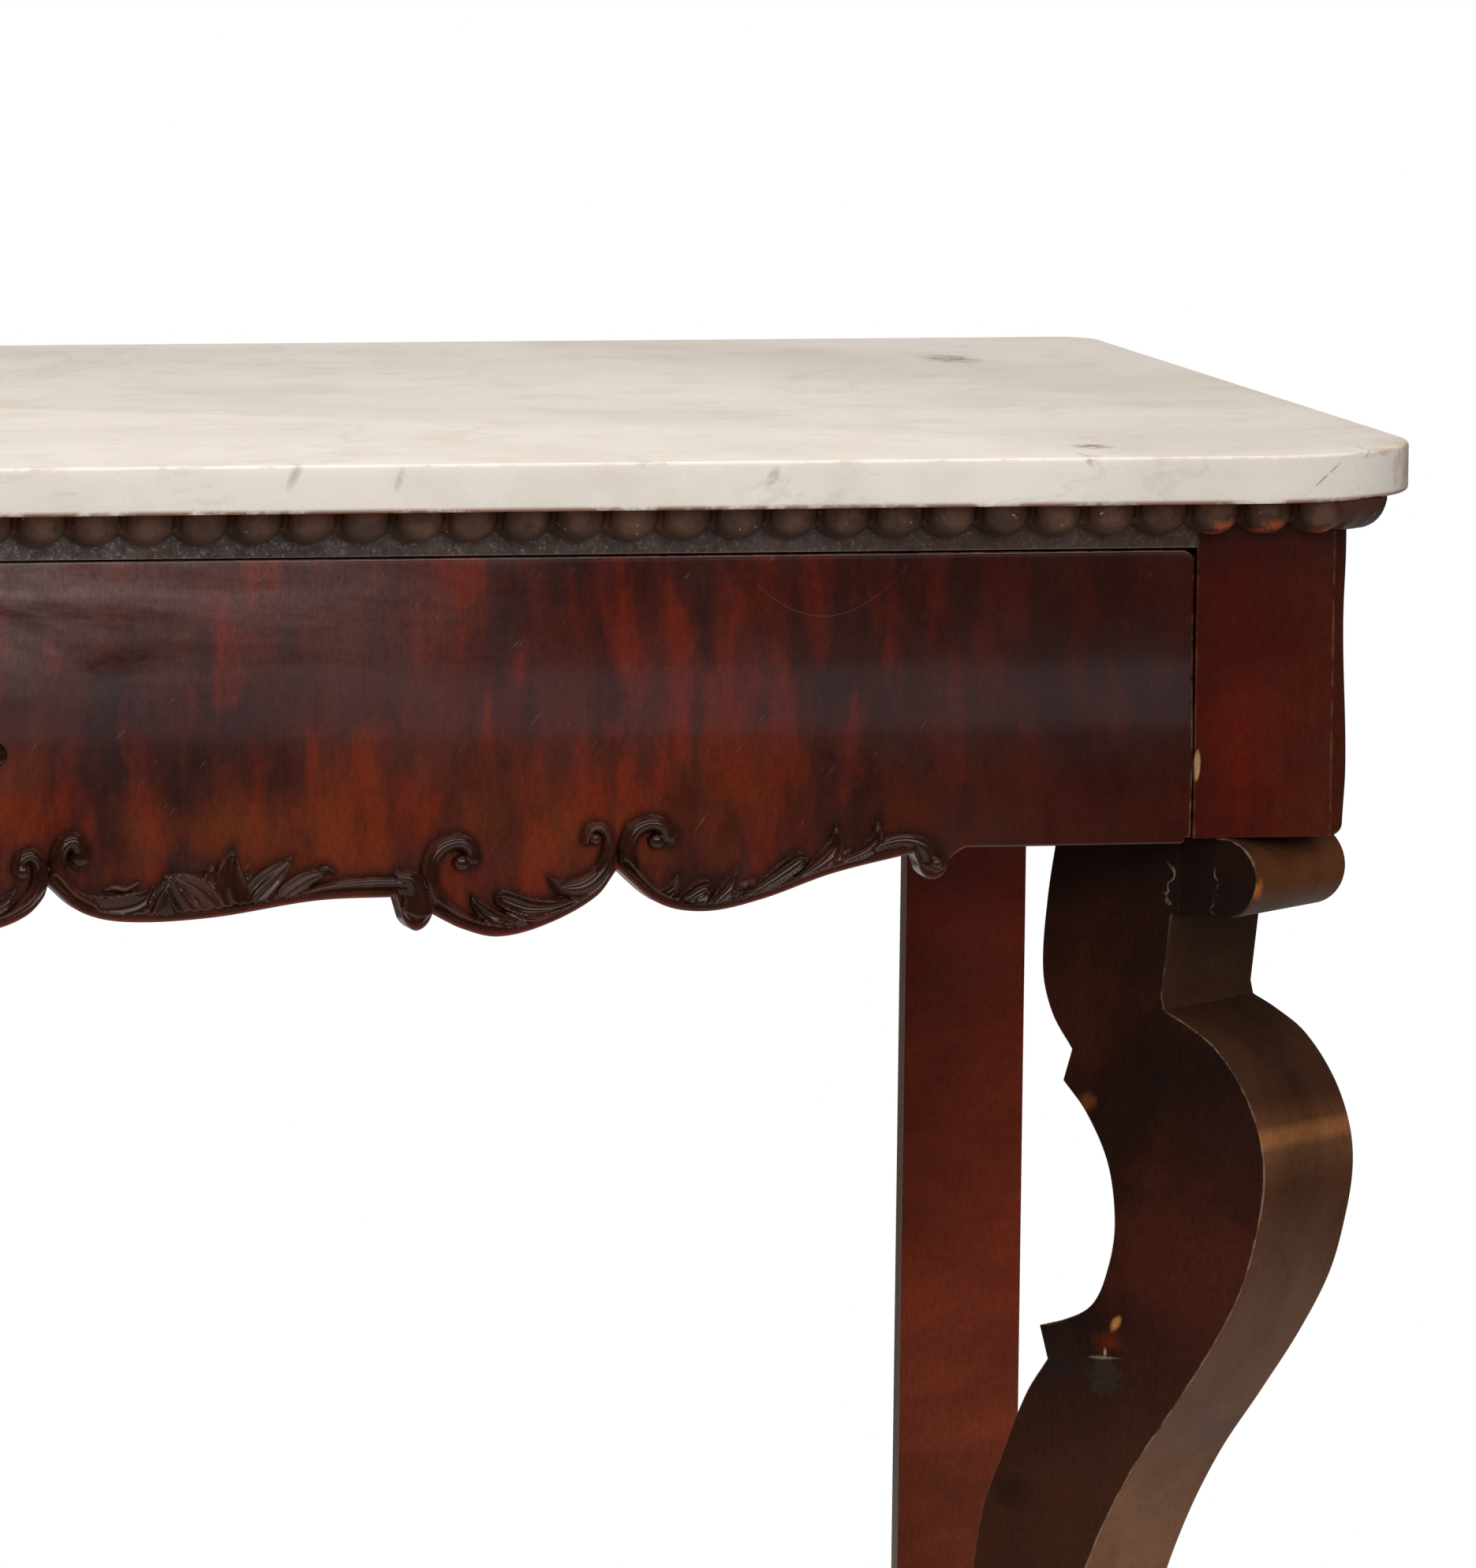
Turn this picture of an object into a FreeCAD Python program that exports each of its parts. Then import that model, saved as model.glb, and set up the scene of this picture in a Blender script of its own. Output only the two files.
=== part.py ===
# A marble-topped pier table in mahogany.  S-scroll front legs stand on the diagonal under the
# corners, flat pilasters stand at the wall, and one drawer fills the whole frieze.  Its front
# hangs below the case as a shaped apron with carved scrolls.  The legs rest on a low platform.
#
# Frame: millimetres, +X to the right, +Y to the wall, +Z up, origin on the floor at the centre.
import FreeCAD, Part

import math
import os
import re

from FreeCAD import Vector

# Driving dimensions: name, value and meaning.  They fill the spreadsheet.
SIZES = {
    "table_height": (900, "floor to the top of the marble"),
    "top_width": (1400, "marble, left to right"),
    "top_depth": (640, "marble, front to wall"),
    "marble_thickness": (22, "marble slab"),
    "marble_corner_radius": (92, "marble, front corners in plan"),
    "marble_back_radius": (20, "marble, back corners in plan"),
    "marble_arris": (1.5, "bevelled edge of the marble"),
    "front_overhang": (32, "marble past the frieze at the front"),
    "side_overhang": (40, "marble past the frieze at each side"),
    "back_overhang": (10, "marble past the case at the wall"),
    "case_height": (156, "frieze case under the marble"),
    "case_corner_radius": (15, "outer corner of the corner blocks"),
    "corner_block_width": (73, "corner block, each way in plan"),
    "side_panel_thickness": (20, "side of the case"),
    "back_board_thickness": (20, "back of the case"),
    "frieze_bulge": (1.3, "swell of the frieze low on its face"),
    "frieze_hollow": (0.8, "hollow of the frieze high on its face"),
    "frieze_foot_radius": (5, "rounding under the outer side of the frieze"),
    "moulding_height": (17, "egg moulding, top to bottom"),
    "moulding_projection": (18.5, "egg moulding, out from the frieze"),
    "egg_pitch": (24.8, "one egg and one dart"),
    "dart_width": (3.6, "cut between two eggs, at its mouth"),
    "dart_depth": (6, "cut between two eggs, into the moulding"),
    "top_rail_height": (22.6, "front rail over the drawer"),
    "top_rail_depth": (60, "front rail over the drawer, front to back"),
    "bearer_width": (45, "bearers under the marble"),
    "bottom_board_thickness": (16, "board that closes the case below"),
    "drawer_front_thickness": (20, "drawer front at its top edge"),
    "drawer_side_gap": (3.5, "drawer front to corner block"),
    "drawer_top_gap": (0.9, "drawer front to top rail"),
    "drawer_drop": (2.5, "straight lower edge of the drawer front below the case"),
    "drawer_bevel": (3, "upright and upper edges of the drawer front"),
    "drawer_top_corner": (7, "upper corners of the drawer front, seen from the front"),
    "apron_thickness": (15, "drawer front below the case, thinned at its back"),
    "apron_half_width": (479.5, "shaped stretch of the apron, centre to end"),
    "apron_depth": (38, "straight lower edge down to the lowest scroll"),
    "carving_relief": (7, "applied carving, out from the apron"),
    "rosette_width": (68, "carved ornament in the middle of the drawer front"),
    "rosette_height": (40, "carved ornament in the middle of the drawer front"),
    "rosette_drop": (110, "middle of that ornament below the marble"),
    "drawer_rear_space": (60, "drawer box to the back board"),
    "drawer_headroom": (11, "drawer sides below the rail over them"),
    "drawer_side_thickness": (14, "drawer sides and back"),
    "drawer_bottom_thickness": (8, "drawer bottom"),
    "drawer_bottom_lift": (8, "drawer bottom above the lower edge of the sides"),
    "groove_depth": (5, "groove in the drawer sides for the bottom"),
    "groove_play": (0.5, "drawer bottom to the end of its groove"),
    "drawer_back_step": (6, "drawer back below the top of the sides"),
    "muntin_width": (44, "strip under the joint of the two drawer bottoms"),
    "muntin_thickness": (5, "that strip below the drawer bottoms"),
    "tail_depth": (12, "dovetails of the sides, into the back of the drawer front"),
    "tail_width": (14, "dovetails, at their root"),
    "tail_flare": (2, "dovetails, how far each side spreads"),
    "tail_pitch": (25, "dovetails, from one to the next"),
    "runner_width": (34, "strips that the drawer sides slide on"),
    "runner_thickness": (6, "strips that the drawer sides slide on"),
    "slide_play": (0.3, "running clearance over the runners and at the stops"),
    "guide_play": (1, "running clearance at each side of the drawer box"),
    "guide_width": (20, "strips beside the drawer box"),
    "guide_height": (40, "strips beside the drawer box"),
    "stop_length": (24, "blocks behind the drawer box"),
    "glue_block": (22, "glue blocks, each way in section"),
    "glue_block_length": (70, "glue blocks"),
    "leg_setback": (23.4, "sharp case corner to the leg's front, on the diagonal"),
    "leg_width": (84, "front leg, across the diagonal"),
    "leg_reach": (147, "front leg, from its front roll to its rearmost point"),
    "roll_radius": (18.7, "rounded nose at the top of the leg"),
    "roll_depth": (44, "nose piece, front to back"),
    "toe_radius": (40, "scroll at the foot of the leg"),
    "pilaster_width": (60, "rear leg seen from the front"),
    "pilaster_thickness": (13, "veneered face board of the rear leg"),
    "post_width": (48, "post behind the face board"),
    "post_thickness": (21, "post behind the face board"),
    "foot_height": (50, "feet under the platform"),
    "foot_width": (70, "feet, across their scroll"),
    "foot_length": (74, "feet, from their front to their heel"),
    "foot_setback": (5, "feet behind the front of the platform's corner blocks"),
    "foot_scroll_radius": (19, "scroll at the front of a foot"),
    "foot_fascia": (8, "plumb band at the top of a foot"),
    "platform_rail_height": (42, "frame under the platform board"),
    "platform_rail_thickness": (22, "frame under the platform board"),
    "platform_rail_inset": (8, "frame behind the edge of the platform board"),
    "platform_board_thickness": (18, "platform board"),
    "platform_bevel": (4, "upper edge of the platform board"),
    "platform_margin": (22, "platform board past the case, front and sides"),
    "platform_cant": (70, "cut corner of the platform, measured along X or Y"),
    "platform_recess": (70, "how far the platform front sweeps back"),
    "platform_sweep": (140, "length of the sweep along X"),
    "platform_corner_land": (72, "straight stretch beside the cut corner"),
    "plinth_block_width": (114, "front corner block of the platform frame"),
    "rear_plinth_width": (80, "rear corner block of the platform frame"),
    "cut_overrun": (1, "how far a cutting outline runs past the solid"),
}

# Places that several pieces share, worked out from the sizes.
PLACES = {
    "case_half": "top_width / 2 - side_overhang",
    "case_front": "front_overhang - top_depth / 2",
    "case_back": "top_depth / 2 - back_overhang",
    "case_top": "table_height - marble_thickness",
    "case_bottom": "case_top - case_height",
    "opening_half": "case_half - corner_block_width",
    "block_back": "case_front + corner_block_width",
    "rear_depth": "pilaster_thickness + post_thickness",
    "rear_front": "case_back - rear_depth",
    "rail_bottom": "case_top - top_rail_height",
    "moulding_bottom": "case_top - moulding_height",
    "drawer_half": "opening_half - drawer_side_gap",
    "drawer_top": "rail_bottom - drawer_top_gap",
    "drawer_edge": "case_bottom - drawer_drop",
    "front_inside": "case_front + drawer_front_thickness",
    "board_top": "case_bottom + bottom_board_thickness",
    "runner_top": "board_top + runner_thickness",
    "box_low": "runner_top + slide_play",
    "box_high": "rail_bottom - drawer_headroom",
    "box_half": "opening_half - guide_width - guide_play",
    "box_inside": "box_half - drawer_side_thickness",
    "inside_back": "case_back - back_board_thickness",
    "box_back": "inside_back - drawer_rear_space",
    "bottom_low": "box_low + drawer_bottom_lift",
    "bottom_high": "bottom_low + drawer_bottom_thickness",
    "frame_top": "foot_height + platform_rail_height",
    "platform_top": "frame_top + platform_board_thickness",
    "platform_half": "case_half + platform_margin",
    "platform_front": "case_front - platform_margin",
    "frame_half": "platform_half - platform_rail_inset",
    "frame_front": "platform_front + platform_rail_inset",
    "frame_cant": "platform_cant - platform_rail_inset * (2 - sqrt(2))",
    "plinth_inside": "frame_half - plinth_block_width",
    "plinth_back": "frame_front + plinth_block_width",
    "rear_plinth_inside": "frame_half - rear_plinth_width",
    "rear_plinth_front": "case_back - rear_plinth_width",
}

SIDES = (("left", -1), ("right", 1))
ORIGIN_PLANES = {"plan": "XY_Plane", "front": "XZ_Plane", "section": "YZ_Plane"}

# How far a quarter round stands inside its sharp corner at 45 degrees, as a share of its radius.
QUARTER_BEND = 1 - math.sqrt(0.5)
# How near an edge has to lie to a face for the tests that pick edges.
NEAR = 0.001

document = FreeCAD.newDocument("pier_table")
pieces = []


# ---- the spreadsheet and the values read from it ------------------------------------------


def expand(text):
    """Write an expression on sizes and places as one on the spreadsheet's cells alone."""

    def swap(match):
        word = match.group()
        if word in PLACES:
            return "(" + expand(PLACES[word]) + ")"
        return "Sizes." + word if word in SIZES else word

    return re.sub(r"[a-z_]+", swap, str(text))


def fill_sheet():
    sheet = document.addObject("Spreadsheet::Sheet", "Sizes")
    for row, (name, (value, meaning)) in enumerate(SIZES.items(), start=1):
        sheet.set(f"A{row}", name)
        sheet.set(f"B{row}", str(value))
        sheet.set(f"C{row}", meaning)
        sheet.setAlias(f"B{row}", name)
    document.recompute()
    return sheet


def read_values(sheet):
    """The sizes and the places as plain numbers, for outlines that are worked out below."""
    places = document.addObject("App::VarSet", "Places")
    for name in PLACES:
        places.addProperty("App::PropertyFloat", name)
        places.setExpression(name, expand(PLACES[name]))
    document.recompute()
    values = {name: float(sheet.get(name)) for name in SIZES}
    values.update({name: getattr(places, name) for name in PLACES})
    return values


# ---- building helpers -----------------------------------------------------------------------


def keep(piece, label):
    piece.Label = label
    pieces.append(piece)
    return piece


def board(label, along_x, along_y, along_z):
    """A rectangular board between two places on each axis, given as expressions."""
    solid = document.addObject("Part::Box", label)
    for size, axis, (low, high) in zip(
        ("Length", "Width", "Height"), "xyz", (along_x, along_y, along_z)
    ):
        solid.setExpression(size, expand(f"({high}) - ({low})"))
        solid.setExpression("Placement.Base." + axis, expand(low))
    return keep(solid, label)


def on_side(sign, low, high):
    """A span along X on the right, or its mirror image on the left."""
    return (low, high) if sign > 0 else (f"-({high})", f"-({low})")


def new_body(label):
    return keep(document.addObject("PartDesign::Body", label), label)


def draw(body, name, view, edges, offset="0", shift="0"):
    """A sketch of ready edges on the body's own plan, front or section plane.

    Its plane stands at offset along its normal, and its origin at shift along its first axis.
    """
    sketch = body.newObject("Sketcher::SketchObject", body.Name + "_" + name)
    role = ORIGIN_PLANES[view]
    plane = [item for item in body.Origin.OriginFeatures if item.Role == role]
    sketch.AttachmentSupport = [(plane[0], "")]
    sketch.MapMode = "FlatFace"
    sketch.setExpression("AttachmentOffset.Base.x", expand(shift))
    sketch.setExpression("AttachmentOffset.Base.z", expand(offset))
    sketch.addGeometry(edges, False)
    return sketch


def pad(body, sketch, length, middle=False):
    feature = body.newObject("PartDesign::Pad", sketch.Name + "_pad")
    feature.Profile = sketch
    feature.SideType = "Symmetric" if middle else "One side"
    feature.setExpression("Length", expand(length))
    return feature


def pocket(body, sketch, length, middle=False):
    feature = body.newObject("PartDesign::Pocket", sketch.Name + "_cut")
    feature.Profile = sketch
    feature.SideType = "Symmetric" if middle else "One side"
    feature.setExpression("Length", expand(length))
    return feature


def revolve(body, sketch, angle, clockwise=False):
    feature = body.newObject("PartDesign::Revolution", sketch.Name + "_turn")
    feature.Profile = sketch
    feature.ReferenceAxis = (sketch, ["V_Axis"])
    feature.Angle = angle
    feature.Reversed = clockwise
    return feature


def bevel_edges(body, base, amount, chosen):
    """Bevel the edges of a finished feature that the test picks out."""
    document.recompute()
    names = [f"Edge{n}" for n, edge in enumerate(base.Shape.Edges, 1) if chosen(edge)]
    bevel = body.newObject("PartDesign::Chamfer", base.Name + "_bevel")
    bevel.Base = (base, names)
    bevel.setExpression("Size", expand(amount))
    return bevel


def line(start, end):
    return Part.LineSegment(Vector(*start), Vector(*end))


def polygon(points):
    return [line(a, b) for a, b in zip(points, points[1:] + points[:1])]


def arc(start, middle, end):
    return Part.Arc(Vector(*start), Vector(*middle), Vector(*end))


def on_circle(centre, radius, direction):
    """The point of a circle in a direction given in degrees."""
    turn = math.radians(direction)
    return (centre[0] + radius * math.cos(turn), centre[1] + radius * math.sin(turn), 0)


def corner_arc(centre, radius, start_angle, end_angle):
    """A round corner about its centre, between two directions in degrees."""
    circle = Part.Circle(Vector(*centre), Vector(0, 0, 1), radius)
    return Part.ArcOfCircle(circle, math.radians(start_angle), math.radians(end_angle))


def arc_along(start, tangent, end):
    """The arc that leaves start along the tangent and ends at end, or a line if it is straight."""
    chord = end - start
    normal = Vector(-tangent.y, tangent.x, 0)
    across = chord.dot(normal)
    if abs(across) < NEAR:
        return Part.LineSegment(start, end)
    centre = start + normal * (chord.Length**2 / (2 * across))
    crown = ((start + end) * 0.5 - centre).normalize() * (start - centre).Length
    return Part.Arc(start, centre + crown, end)


def mirrored(tangent, chord):
    """The tangent at the other end of a round arc over the chord."""
    along = Vector(chord).normalize()
    return along * (2 * tangent.dot(along)) - tangent


def curve(points):
    """A smooth run of arcs through the points: one over each end span, two over the others.

    The tangent at a point is that of the circle through it and its two neighbours.  A span's two
    arcs meet halfway between the tips of equal lengths laid along its end tangents.
    """
    places = [Vector(*point) for point in points]
    steps = [b - a for a, b in zip(places, places[1:])]
    tangents = []
    for a, b in zip(steps, steps[1:]):
        tangents.append((a * (b.Length / a.Length) + b * (a.Length / b.Length)).normalize())
    tangents.insert(0, mirrored(tangents[0], steps[0]))
    tangents.append(mirrored(tangents[-1], steps[-1]))
    edges = []
    for n, step in enumerate(steps):
        start, end = places[n : n + 2]
        leave, arrive = tangents[n : n + 2]
        forward = step.dot(leave + arrive)
        bend = 2 * (1 - leave.dot(arrive)) * step.Length**2
        length = step.Length**2 / (forward + math.sqrt(forward**2 + bend))
        meet = (start + leave * length + end - arrive * length) * 0.5
        if n in (0, len(steps) - 1):
            edges.append(arc_along(start, leave, end))
        else:
            edges += [arc_along(start, leave, meet), arc_along(end, arrive * -1, meet)]
    return edges


def flip(points, sign):
    return [(sign * point[0], *point[1:]) for point in points]


# ---- outlines -------------------------------------------------------------------------------


# How far down the frieze its hollow is deepest, and its swell fullest.
OGEE_HOLLOW = 0.36
OGEE_SWELL = 0.80


def frieze_face(plane, outward, top, bottom):
    """The frieze's shallow ogee, from its top down: a hollow, then a swell, then plumb."""

    def at(share, proud):
        return (plane + outward * proud, v["case_top"] - share * v["case_height"], 0)

    return curve(
        [
            (plane, top, 0),
            at(OGEE_HOLLOW, -v["frieze_hollow"]),
            at(OGEE_SWELL, v["frieze_bulge"]),
            (plane, bottom, 0),
        ]
    )


# The egg moulding's round: its fullest point and its foot, as shares of projection and height.
OVOLO_MIDDLE = (0.84, 0.6)
OVOLO_FOOT = 0.22


def ovolo(face, outward):
    """Section of the egg moulding against a face: a full quarter-round with a small quirk."""
    depth = outward * v["moulding_projection"]
    top = v["case_top"]
    low = v["moulding_bottom"]
    fullest = (face + depth * OVOLO_MIDDLE[0], top - OVOLO_MIDDLE[1] * v["moulding_height"], 0)
    foot = (face + depth * OVOLO_FOOT, low, 0)
    return [
        line((face, low, 0), (face, top, 0)),
        line((face, top, 0), (face + depth, top, 0)),
        arc((face + depth, top, 0), fullest, foot),
        line(foot, (face, low, 0)),
    ]


# Direction of the crease over the scroll at the leg's foot, in degrees from level.
TOE_CREASE = 55


def leg_profile():
    """The S-scroll leg from the side: first axis back from its front roll, second axis up."""
    top = v["case_bottom"]
    base = v["platform_top"]
    reach = v["leg_reach"]
    height = top - base
    toe = v["toe_radius"]
    neck = v["roll_depth"]
    nose = 2 * v["roll_radius"]

    def at(back, up):
        return (back * reach, base + up * height, 0)

    crease = at(0.323, 0.867)
    toe_top = on_circle((toe, base + toe), toe, TOE_CREASE)
    belly = [
        crease,
        at(0.135, 0.841),
        at(0.015, 0.802),
        at(-0.044, 0.742),
        at(0.034, 0.660),
        at(0.272, 0.566),
        at(0.425, 0.513),
        at(0.600, 0.423),
        at(0.655, 0.320),
        at(0.595, 0.245),
        toe_top,
    ]
    notch_above = at(0.654, 0.832)
    ear = at(0.684, 0.808)
    spur = at(0.756, 0.621)
    notch_below = at(0.726, 0.596)
    heel_spur = at(0.800, 0.165)
    back_top = at(0.714, 1.0)
    shoulder = [back_top, at(0.750, 0.945), at(0.763, 0.890), at(0.727, 0.858), notch_above]
    hollow = [
        ear,
        at(0.520, 0.748),
        at(0.492, 0.705),
        at(0.570, 0.640),
        spur,
    ]
    calf = [
        notch_below,
        at(0.878, 0.525),
        at(0.970, 0.455),
        at(1.000, 0.370),
        at(0.950, 0.250),
        heel_spur,
    ]
    heel = [heel_spur, at(0.735, 0.115), at(0.715, 0.060), at(0.800, 0.0)]
    return [
        line((neck, top, 0), (neck, top - nose, 0)),
        line((neck, top - nose, 0), at(0.333, 0.877)),
        line(at(0.333, 0.877), crease),
        *curve(belly),
        arc(toe_top, (0, base + toe, 0), (toe, base, 0)),
        line((toe, base, 0), heel[-1]),
        *curve(heel),
        *curve(calf),
        line(notch_below, spur),
        *curve(hollow),
        line(ear, notch_above),
        *curve(shoulder),
        line(back_top, (neck, top, 0)),
    ]


# Lower edge of the drawer front, right half.  Each point is (across, down): across from the
# centre as a share of apron_half_width, down from the straight edge as a share of apron_depth.
APRON_LOBES = (
    ((0, 0.880), (0.065, 0.790), (0.096, 0.600), (0.1115, 0.280)),
    ((0.1115, 0.280), (0.144, 0.616), (0.187, 0.740), (0.268, 0.705), (0.447, 0.490)),
    ((0.482, 0.700), (0.510, 0.880), (0.546, 0.985), (0.592, 0.850), (0.6605, 0.200)),
    ((0.6605, 0.200), (0.703, 0.624), (0.748, 0.720), (0.801, 0.590), (0.950, 0.060)),
)
DROP_BULB = ((0.447, 0.490), (0.466, 0.905), (0.482, 0.700))
END_SCROLL = ((0.950, 0.060), (0.968, 0.350), (0.985, 0.060))


def apron_point(across, down):
    return (across * v["apron_half_width"], v["drawer_edge"] - down * v["apron_depth"], 0)


def apron_edge(sign):
    """Lobes, drop bulb and end scroll of one half of the apron."""
    edges = []
    for lobe in APRON_LOBES:
        edges += curve(flip([apron_point(*p) for p in lobe], sign))
    for bulb in (DROP_BULB, END_SCROLL):
        edges.append(arc(*flip([apron_point(*p) for p in bulb], sign)))
    start = flip([apron_point(*END_SCROLL[-1])], sign)[0]
    shoulder = (sign * v["apron_half_width"], v["drawer_edge"], 0)
    corner = (sign * v["drawer_half"], v["drawer_edge"], 0)
    edges.append(line(start, shoulder))
    edges.append(line(shoulder, corner))
    turn = v["drawer_top_corner"]
    bend = turn * QUARTER_BEND
    beside = (corner[0], v["drawer_top"] - turn, 0)
    between = (corner[0] - sign * bend, v["drawer_top"] - bend, 0)
    edges.append(line(corner, beside))
    edges.append(arc(beside, between, (corner[0] - sign * turn, v["drawer_top"], 0)))
    return edges


def platform_outline(half, front, cant, back):
    """Plan of the platform: cut front corners and a front that sweeps back in an ogee."""
    land = half - cant - v["platform_corner_land"]
    recess = v["platform_recess"]
    run = v["platform_sweep"]
    edges = [line((half, back, 0), (-half, back, 0))]
    for sign in (1, -1):
        middle = (land - run / 2, front + recess / 2)
        turn = 2 * math.atan(recess / run)
        radius = run / 2 / math.sin(turn)
        half_turn = (radius * math.sin(turn / 2), radius * (1 - math.cos(turn / 2)))
        outer = (land - half_turn[0], front + half_turn[1], 0)
        inner = (land - run + half_turn[0], front + recess - half_turn[1], 0)
        edges += [
            line((sign * half, back, 0), (sign * half, front + cant, 0)),
            line((sign * half, front + cant, 0), (sign * (half - cant), front, 0)),
            line((sign * (half - cant), front, 0), (sign * land, front, 0)),
            arc(*flip([(land, front, 0), outer, (*middle, 0)], sign)),
            arc(*flip([(*middle, 0), inner, (land - run, front + recess, 0)], sign)),
        ]
    end = land - run
    edges.append(line((-end, front + recess, 0), (end, front + recess, 0)))
    return edges


# ---- marble and its bearers -----------------------------------------------------------------


def make_marble():
    body = new_body("marble_top")
    half_width = v["top_width"] / 2
    half_depth = v["top_depth"] / 2
    front = v["marble_corner_radius"]
    back = v["marble_back_radius"]
    edges = [
        line((-half_width + front, -half_depth, 0), (half_width - front, -half_depth, 0)),
        line((half_width, front - half_depth, 0), (half_width, half_depth - back, 0)),
        line((half_width - back, half_depth, 0), (back - half_width, half_depth, 0)),
        line((-half_width, half_depth - back, 0), (-half_width, front - half_depth, 0)),
        corner_arc((half_width - front, front - half_depth, 0), front, 270, 360),
        corner_arc((half_width - back, half_depth - back, 0), back, 0, 90),
        corner_arc((back - half_width, half_depth - back, 0), back, 90, 180),
        corner_arc((front - half_width, front - half_depth, 0), front, 180, 270),
    ]
    plan = draw(body, "plan", "plan", edges, offset="case_top")
    slab = pad(body, plan, "marble_thickness")
    bevel_edges(body, slab, "marble_arris", lambda edge: edge.BoundBox.ZLength < NEAR)


def make_bearers():
    """Bearers from the front rail to the back board; the outer two also keep the drawer down."""
    along = ("case_front + top_rail_depth", "inside_back")
    rise = ("rail_bottom", "case_top")
    for side, sign in SIDES:
        across = on_side(sign, "opening_half - bearer_width", "opening_half")
        board("marble_bearer_" + side, across, along, rise)
    board("marble_bearer_middle", ("-bearer_width / 2", "bearer_width / 2"), along, rise)


# ---- frieze case ----------------------------------------------------------------------------


def frieze_side_edges(sign):
    """Outer side of the case from its top down: plumb, then the ogee, then rounded under."""
    outside = sign * v["case_half"]
    foot = v["frieze_foot_radius"]
    low = v["case_bottom"]
    turn = (outside - sign * foot * QUARTER_BEND, low + foot * QUARTER_BEND, 0)
    return [
        line((outside, v["case_top"], 0), (outside, v["rail_bottom"], 0)),
        *frieze_face(outside, sign, v["rail_bottom"], low + foot),
        arc((outside, low + foot, 0), turn, (outside - sign * foot, low, 0)),
    ]


def frieze_side_outline(sign, inside):
    """Upright section through the side of the case, with a flat inner face."""
    under = (sign * (v["case_half"] - v["frieze_foot_radius"]), v["case_bottom"], 0)
    inner_low = (sign * inside, v["case_bottom"], 0)
    inner_high = (sign * inside, v["case_top"], 0)
    return frieze_side_edges(sign) + [
        line(under, inner_low),
        line(inner_low, inner_high),
        line(inner_high, (sign * v["case_half"], v["case_top"], 0)),
    ]


def make_corner_block(side, sign):
    """A block with a rounded outer corner, planed to the frieze's ogee on its outer side."""
    block = new_body("front_corner_block_" + side)
    inner = v["opening_half"]
    outer = v["case_half"] + v["frieze_bulge"]
    front = v["case_front"]
    back = v["block_back"]
    turn = v["case_corner_radius"]
    corners = [(inner, front, 0), (inner, back, 0), (outer, back, 0)]
    inner_front, inner_back, outer_back = flip(corners, sign)
    start, middle, end = rounded_corner(outer, sign)
    edges = [
        line(inner_front, start),
        arc(start, middle, end),
        line(end, outer_back),
        line(outer_back, inner_back),
        line(inner_back, inner_front),
    ]
    plan = draw(block, "plan", "plan", edges, offset="case_bottom")
    pad(block, plan, "case_height")

    outside = sign * v["case_half"]
    far = sign * (v["case_half"] + turn)
    low = v["case_bottom"]
    top = v["case_top"]
    waste = frieze_side_edges(sign) + [
        line((outside, top, 0), (far, top, 0)),
        line((far, top, 0), (far, low, 0)),
        line((far, low, 0), (outside - sign * v["frieze_foot_radius"], low, 0)),
    ]
    side_cut = draw(block, "side", "front", waste, offset="-(block_back)")
    pocket(block, side_cut, "3 * corner_block_width", middle=True)

    start, middle, end = rounded_corner(v["case_half"], sign)
    proud = front - v["cut_overrun"]
    seat = [
        arc(start, middle, end),
        line(end, (far, end[1], 0)),
        line((far, end[1], 0), (far, proud, 0)),
        line((far, proud, 0), (start[0], proud, 0)),
        line((start[0], proud, 0), start),
    ]
    moulding_seat = draw(block, "moulding_seat", "plan", seat, offset="case_top")
    pocket(block, moulding_seat, "moulding_height")


def rounded_corner(outer, sign):
    """Start, middle and end of the case's front corner in plan, for an outer side at outer."""
    front = v["case_front"]
    turn = v["case_corner_radius"]
    bend = turn * QUARTER_BEND
    points = [(outer - turn, front, 0), (outer - bend, front + bend, 0), (outer, front + turn, 0)]
    return flip(points, sign)


def make_case():
    for side, sign in SIDES:
        make_corner_block(side, sign)
        panel = new_body("side_panel_" + side)
        outline = frieze_side_outline(sign, v["case_half"] - v["side_panel_thickness"])
        section = draw(panel, "front", "front", outline, offset="-(rear_front)")
        pad(panel, section, "rear_front - block_back")
        across = on_side(sign, "case_half - pilaster_width", "case_half")
        board("rear_corner_block_" + side, across, ("rear_front", "case_back"), ("case_bottom", "case_top"))
    between = ("pilaster_width - case_half", "case_half - pilaster_width")
    board(
        "back_board",
        between,
        ("inside_back", "case_back"),
        ("case_bottom", "case_top"),
    )
    board(
        "front_top_rail",
        ("-(opening_half)", "opening_half"),
        ("case_front", "case_front + top_rail_depth"),
        ("rail_bottom", "case_top"),
    )
    make_bottom_board()


def make_bottom_board():
    """The board under the case, notched round the four corner blocks."""
    body = new_body("bottom_board")
    front = v["front_inside"] + v["drawer_top_gap"]
    inner = v["case_half"] - v["side_panel_thickness"]
    rear = v["case_half"] - v["pilaster_width"]
    right = [
        (v["opening_half"], front),
        (v["opening_half"], v["block_back"]),
        (inner, v["block_back"]),
        (inner, v["rear_front"]),
        (rear, v["rear_front"]),
        (rear, v["inside_back"]),
    ]
    corners = right + flip(right[::-1], -1)
    plan = draw(body, "plan", "plan", polygon([(*c, 0) for c in corners]), offset="case_bottom")
    pad(body, plan, "bottom_board_thickness")


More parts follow.
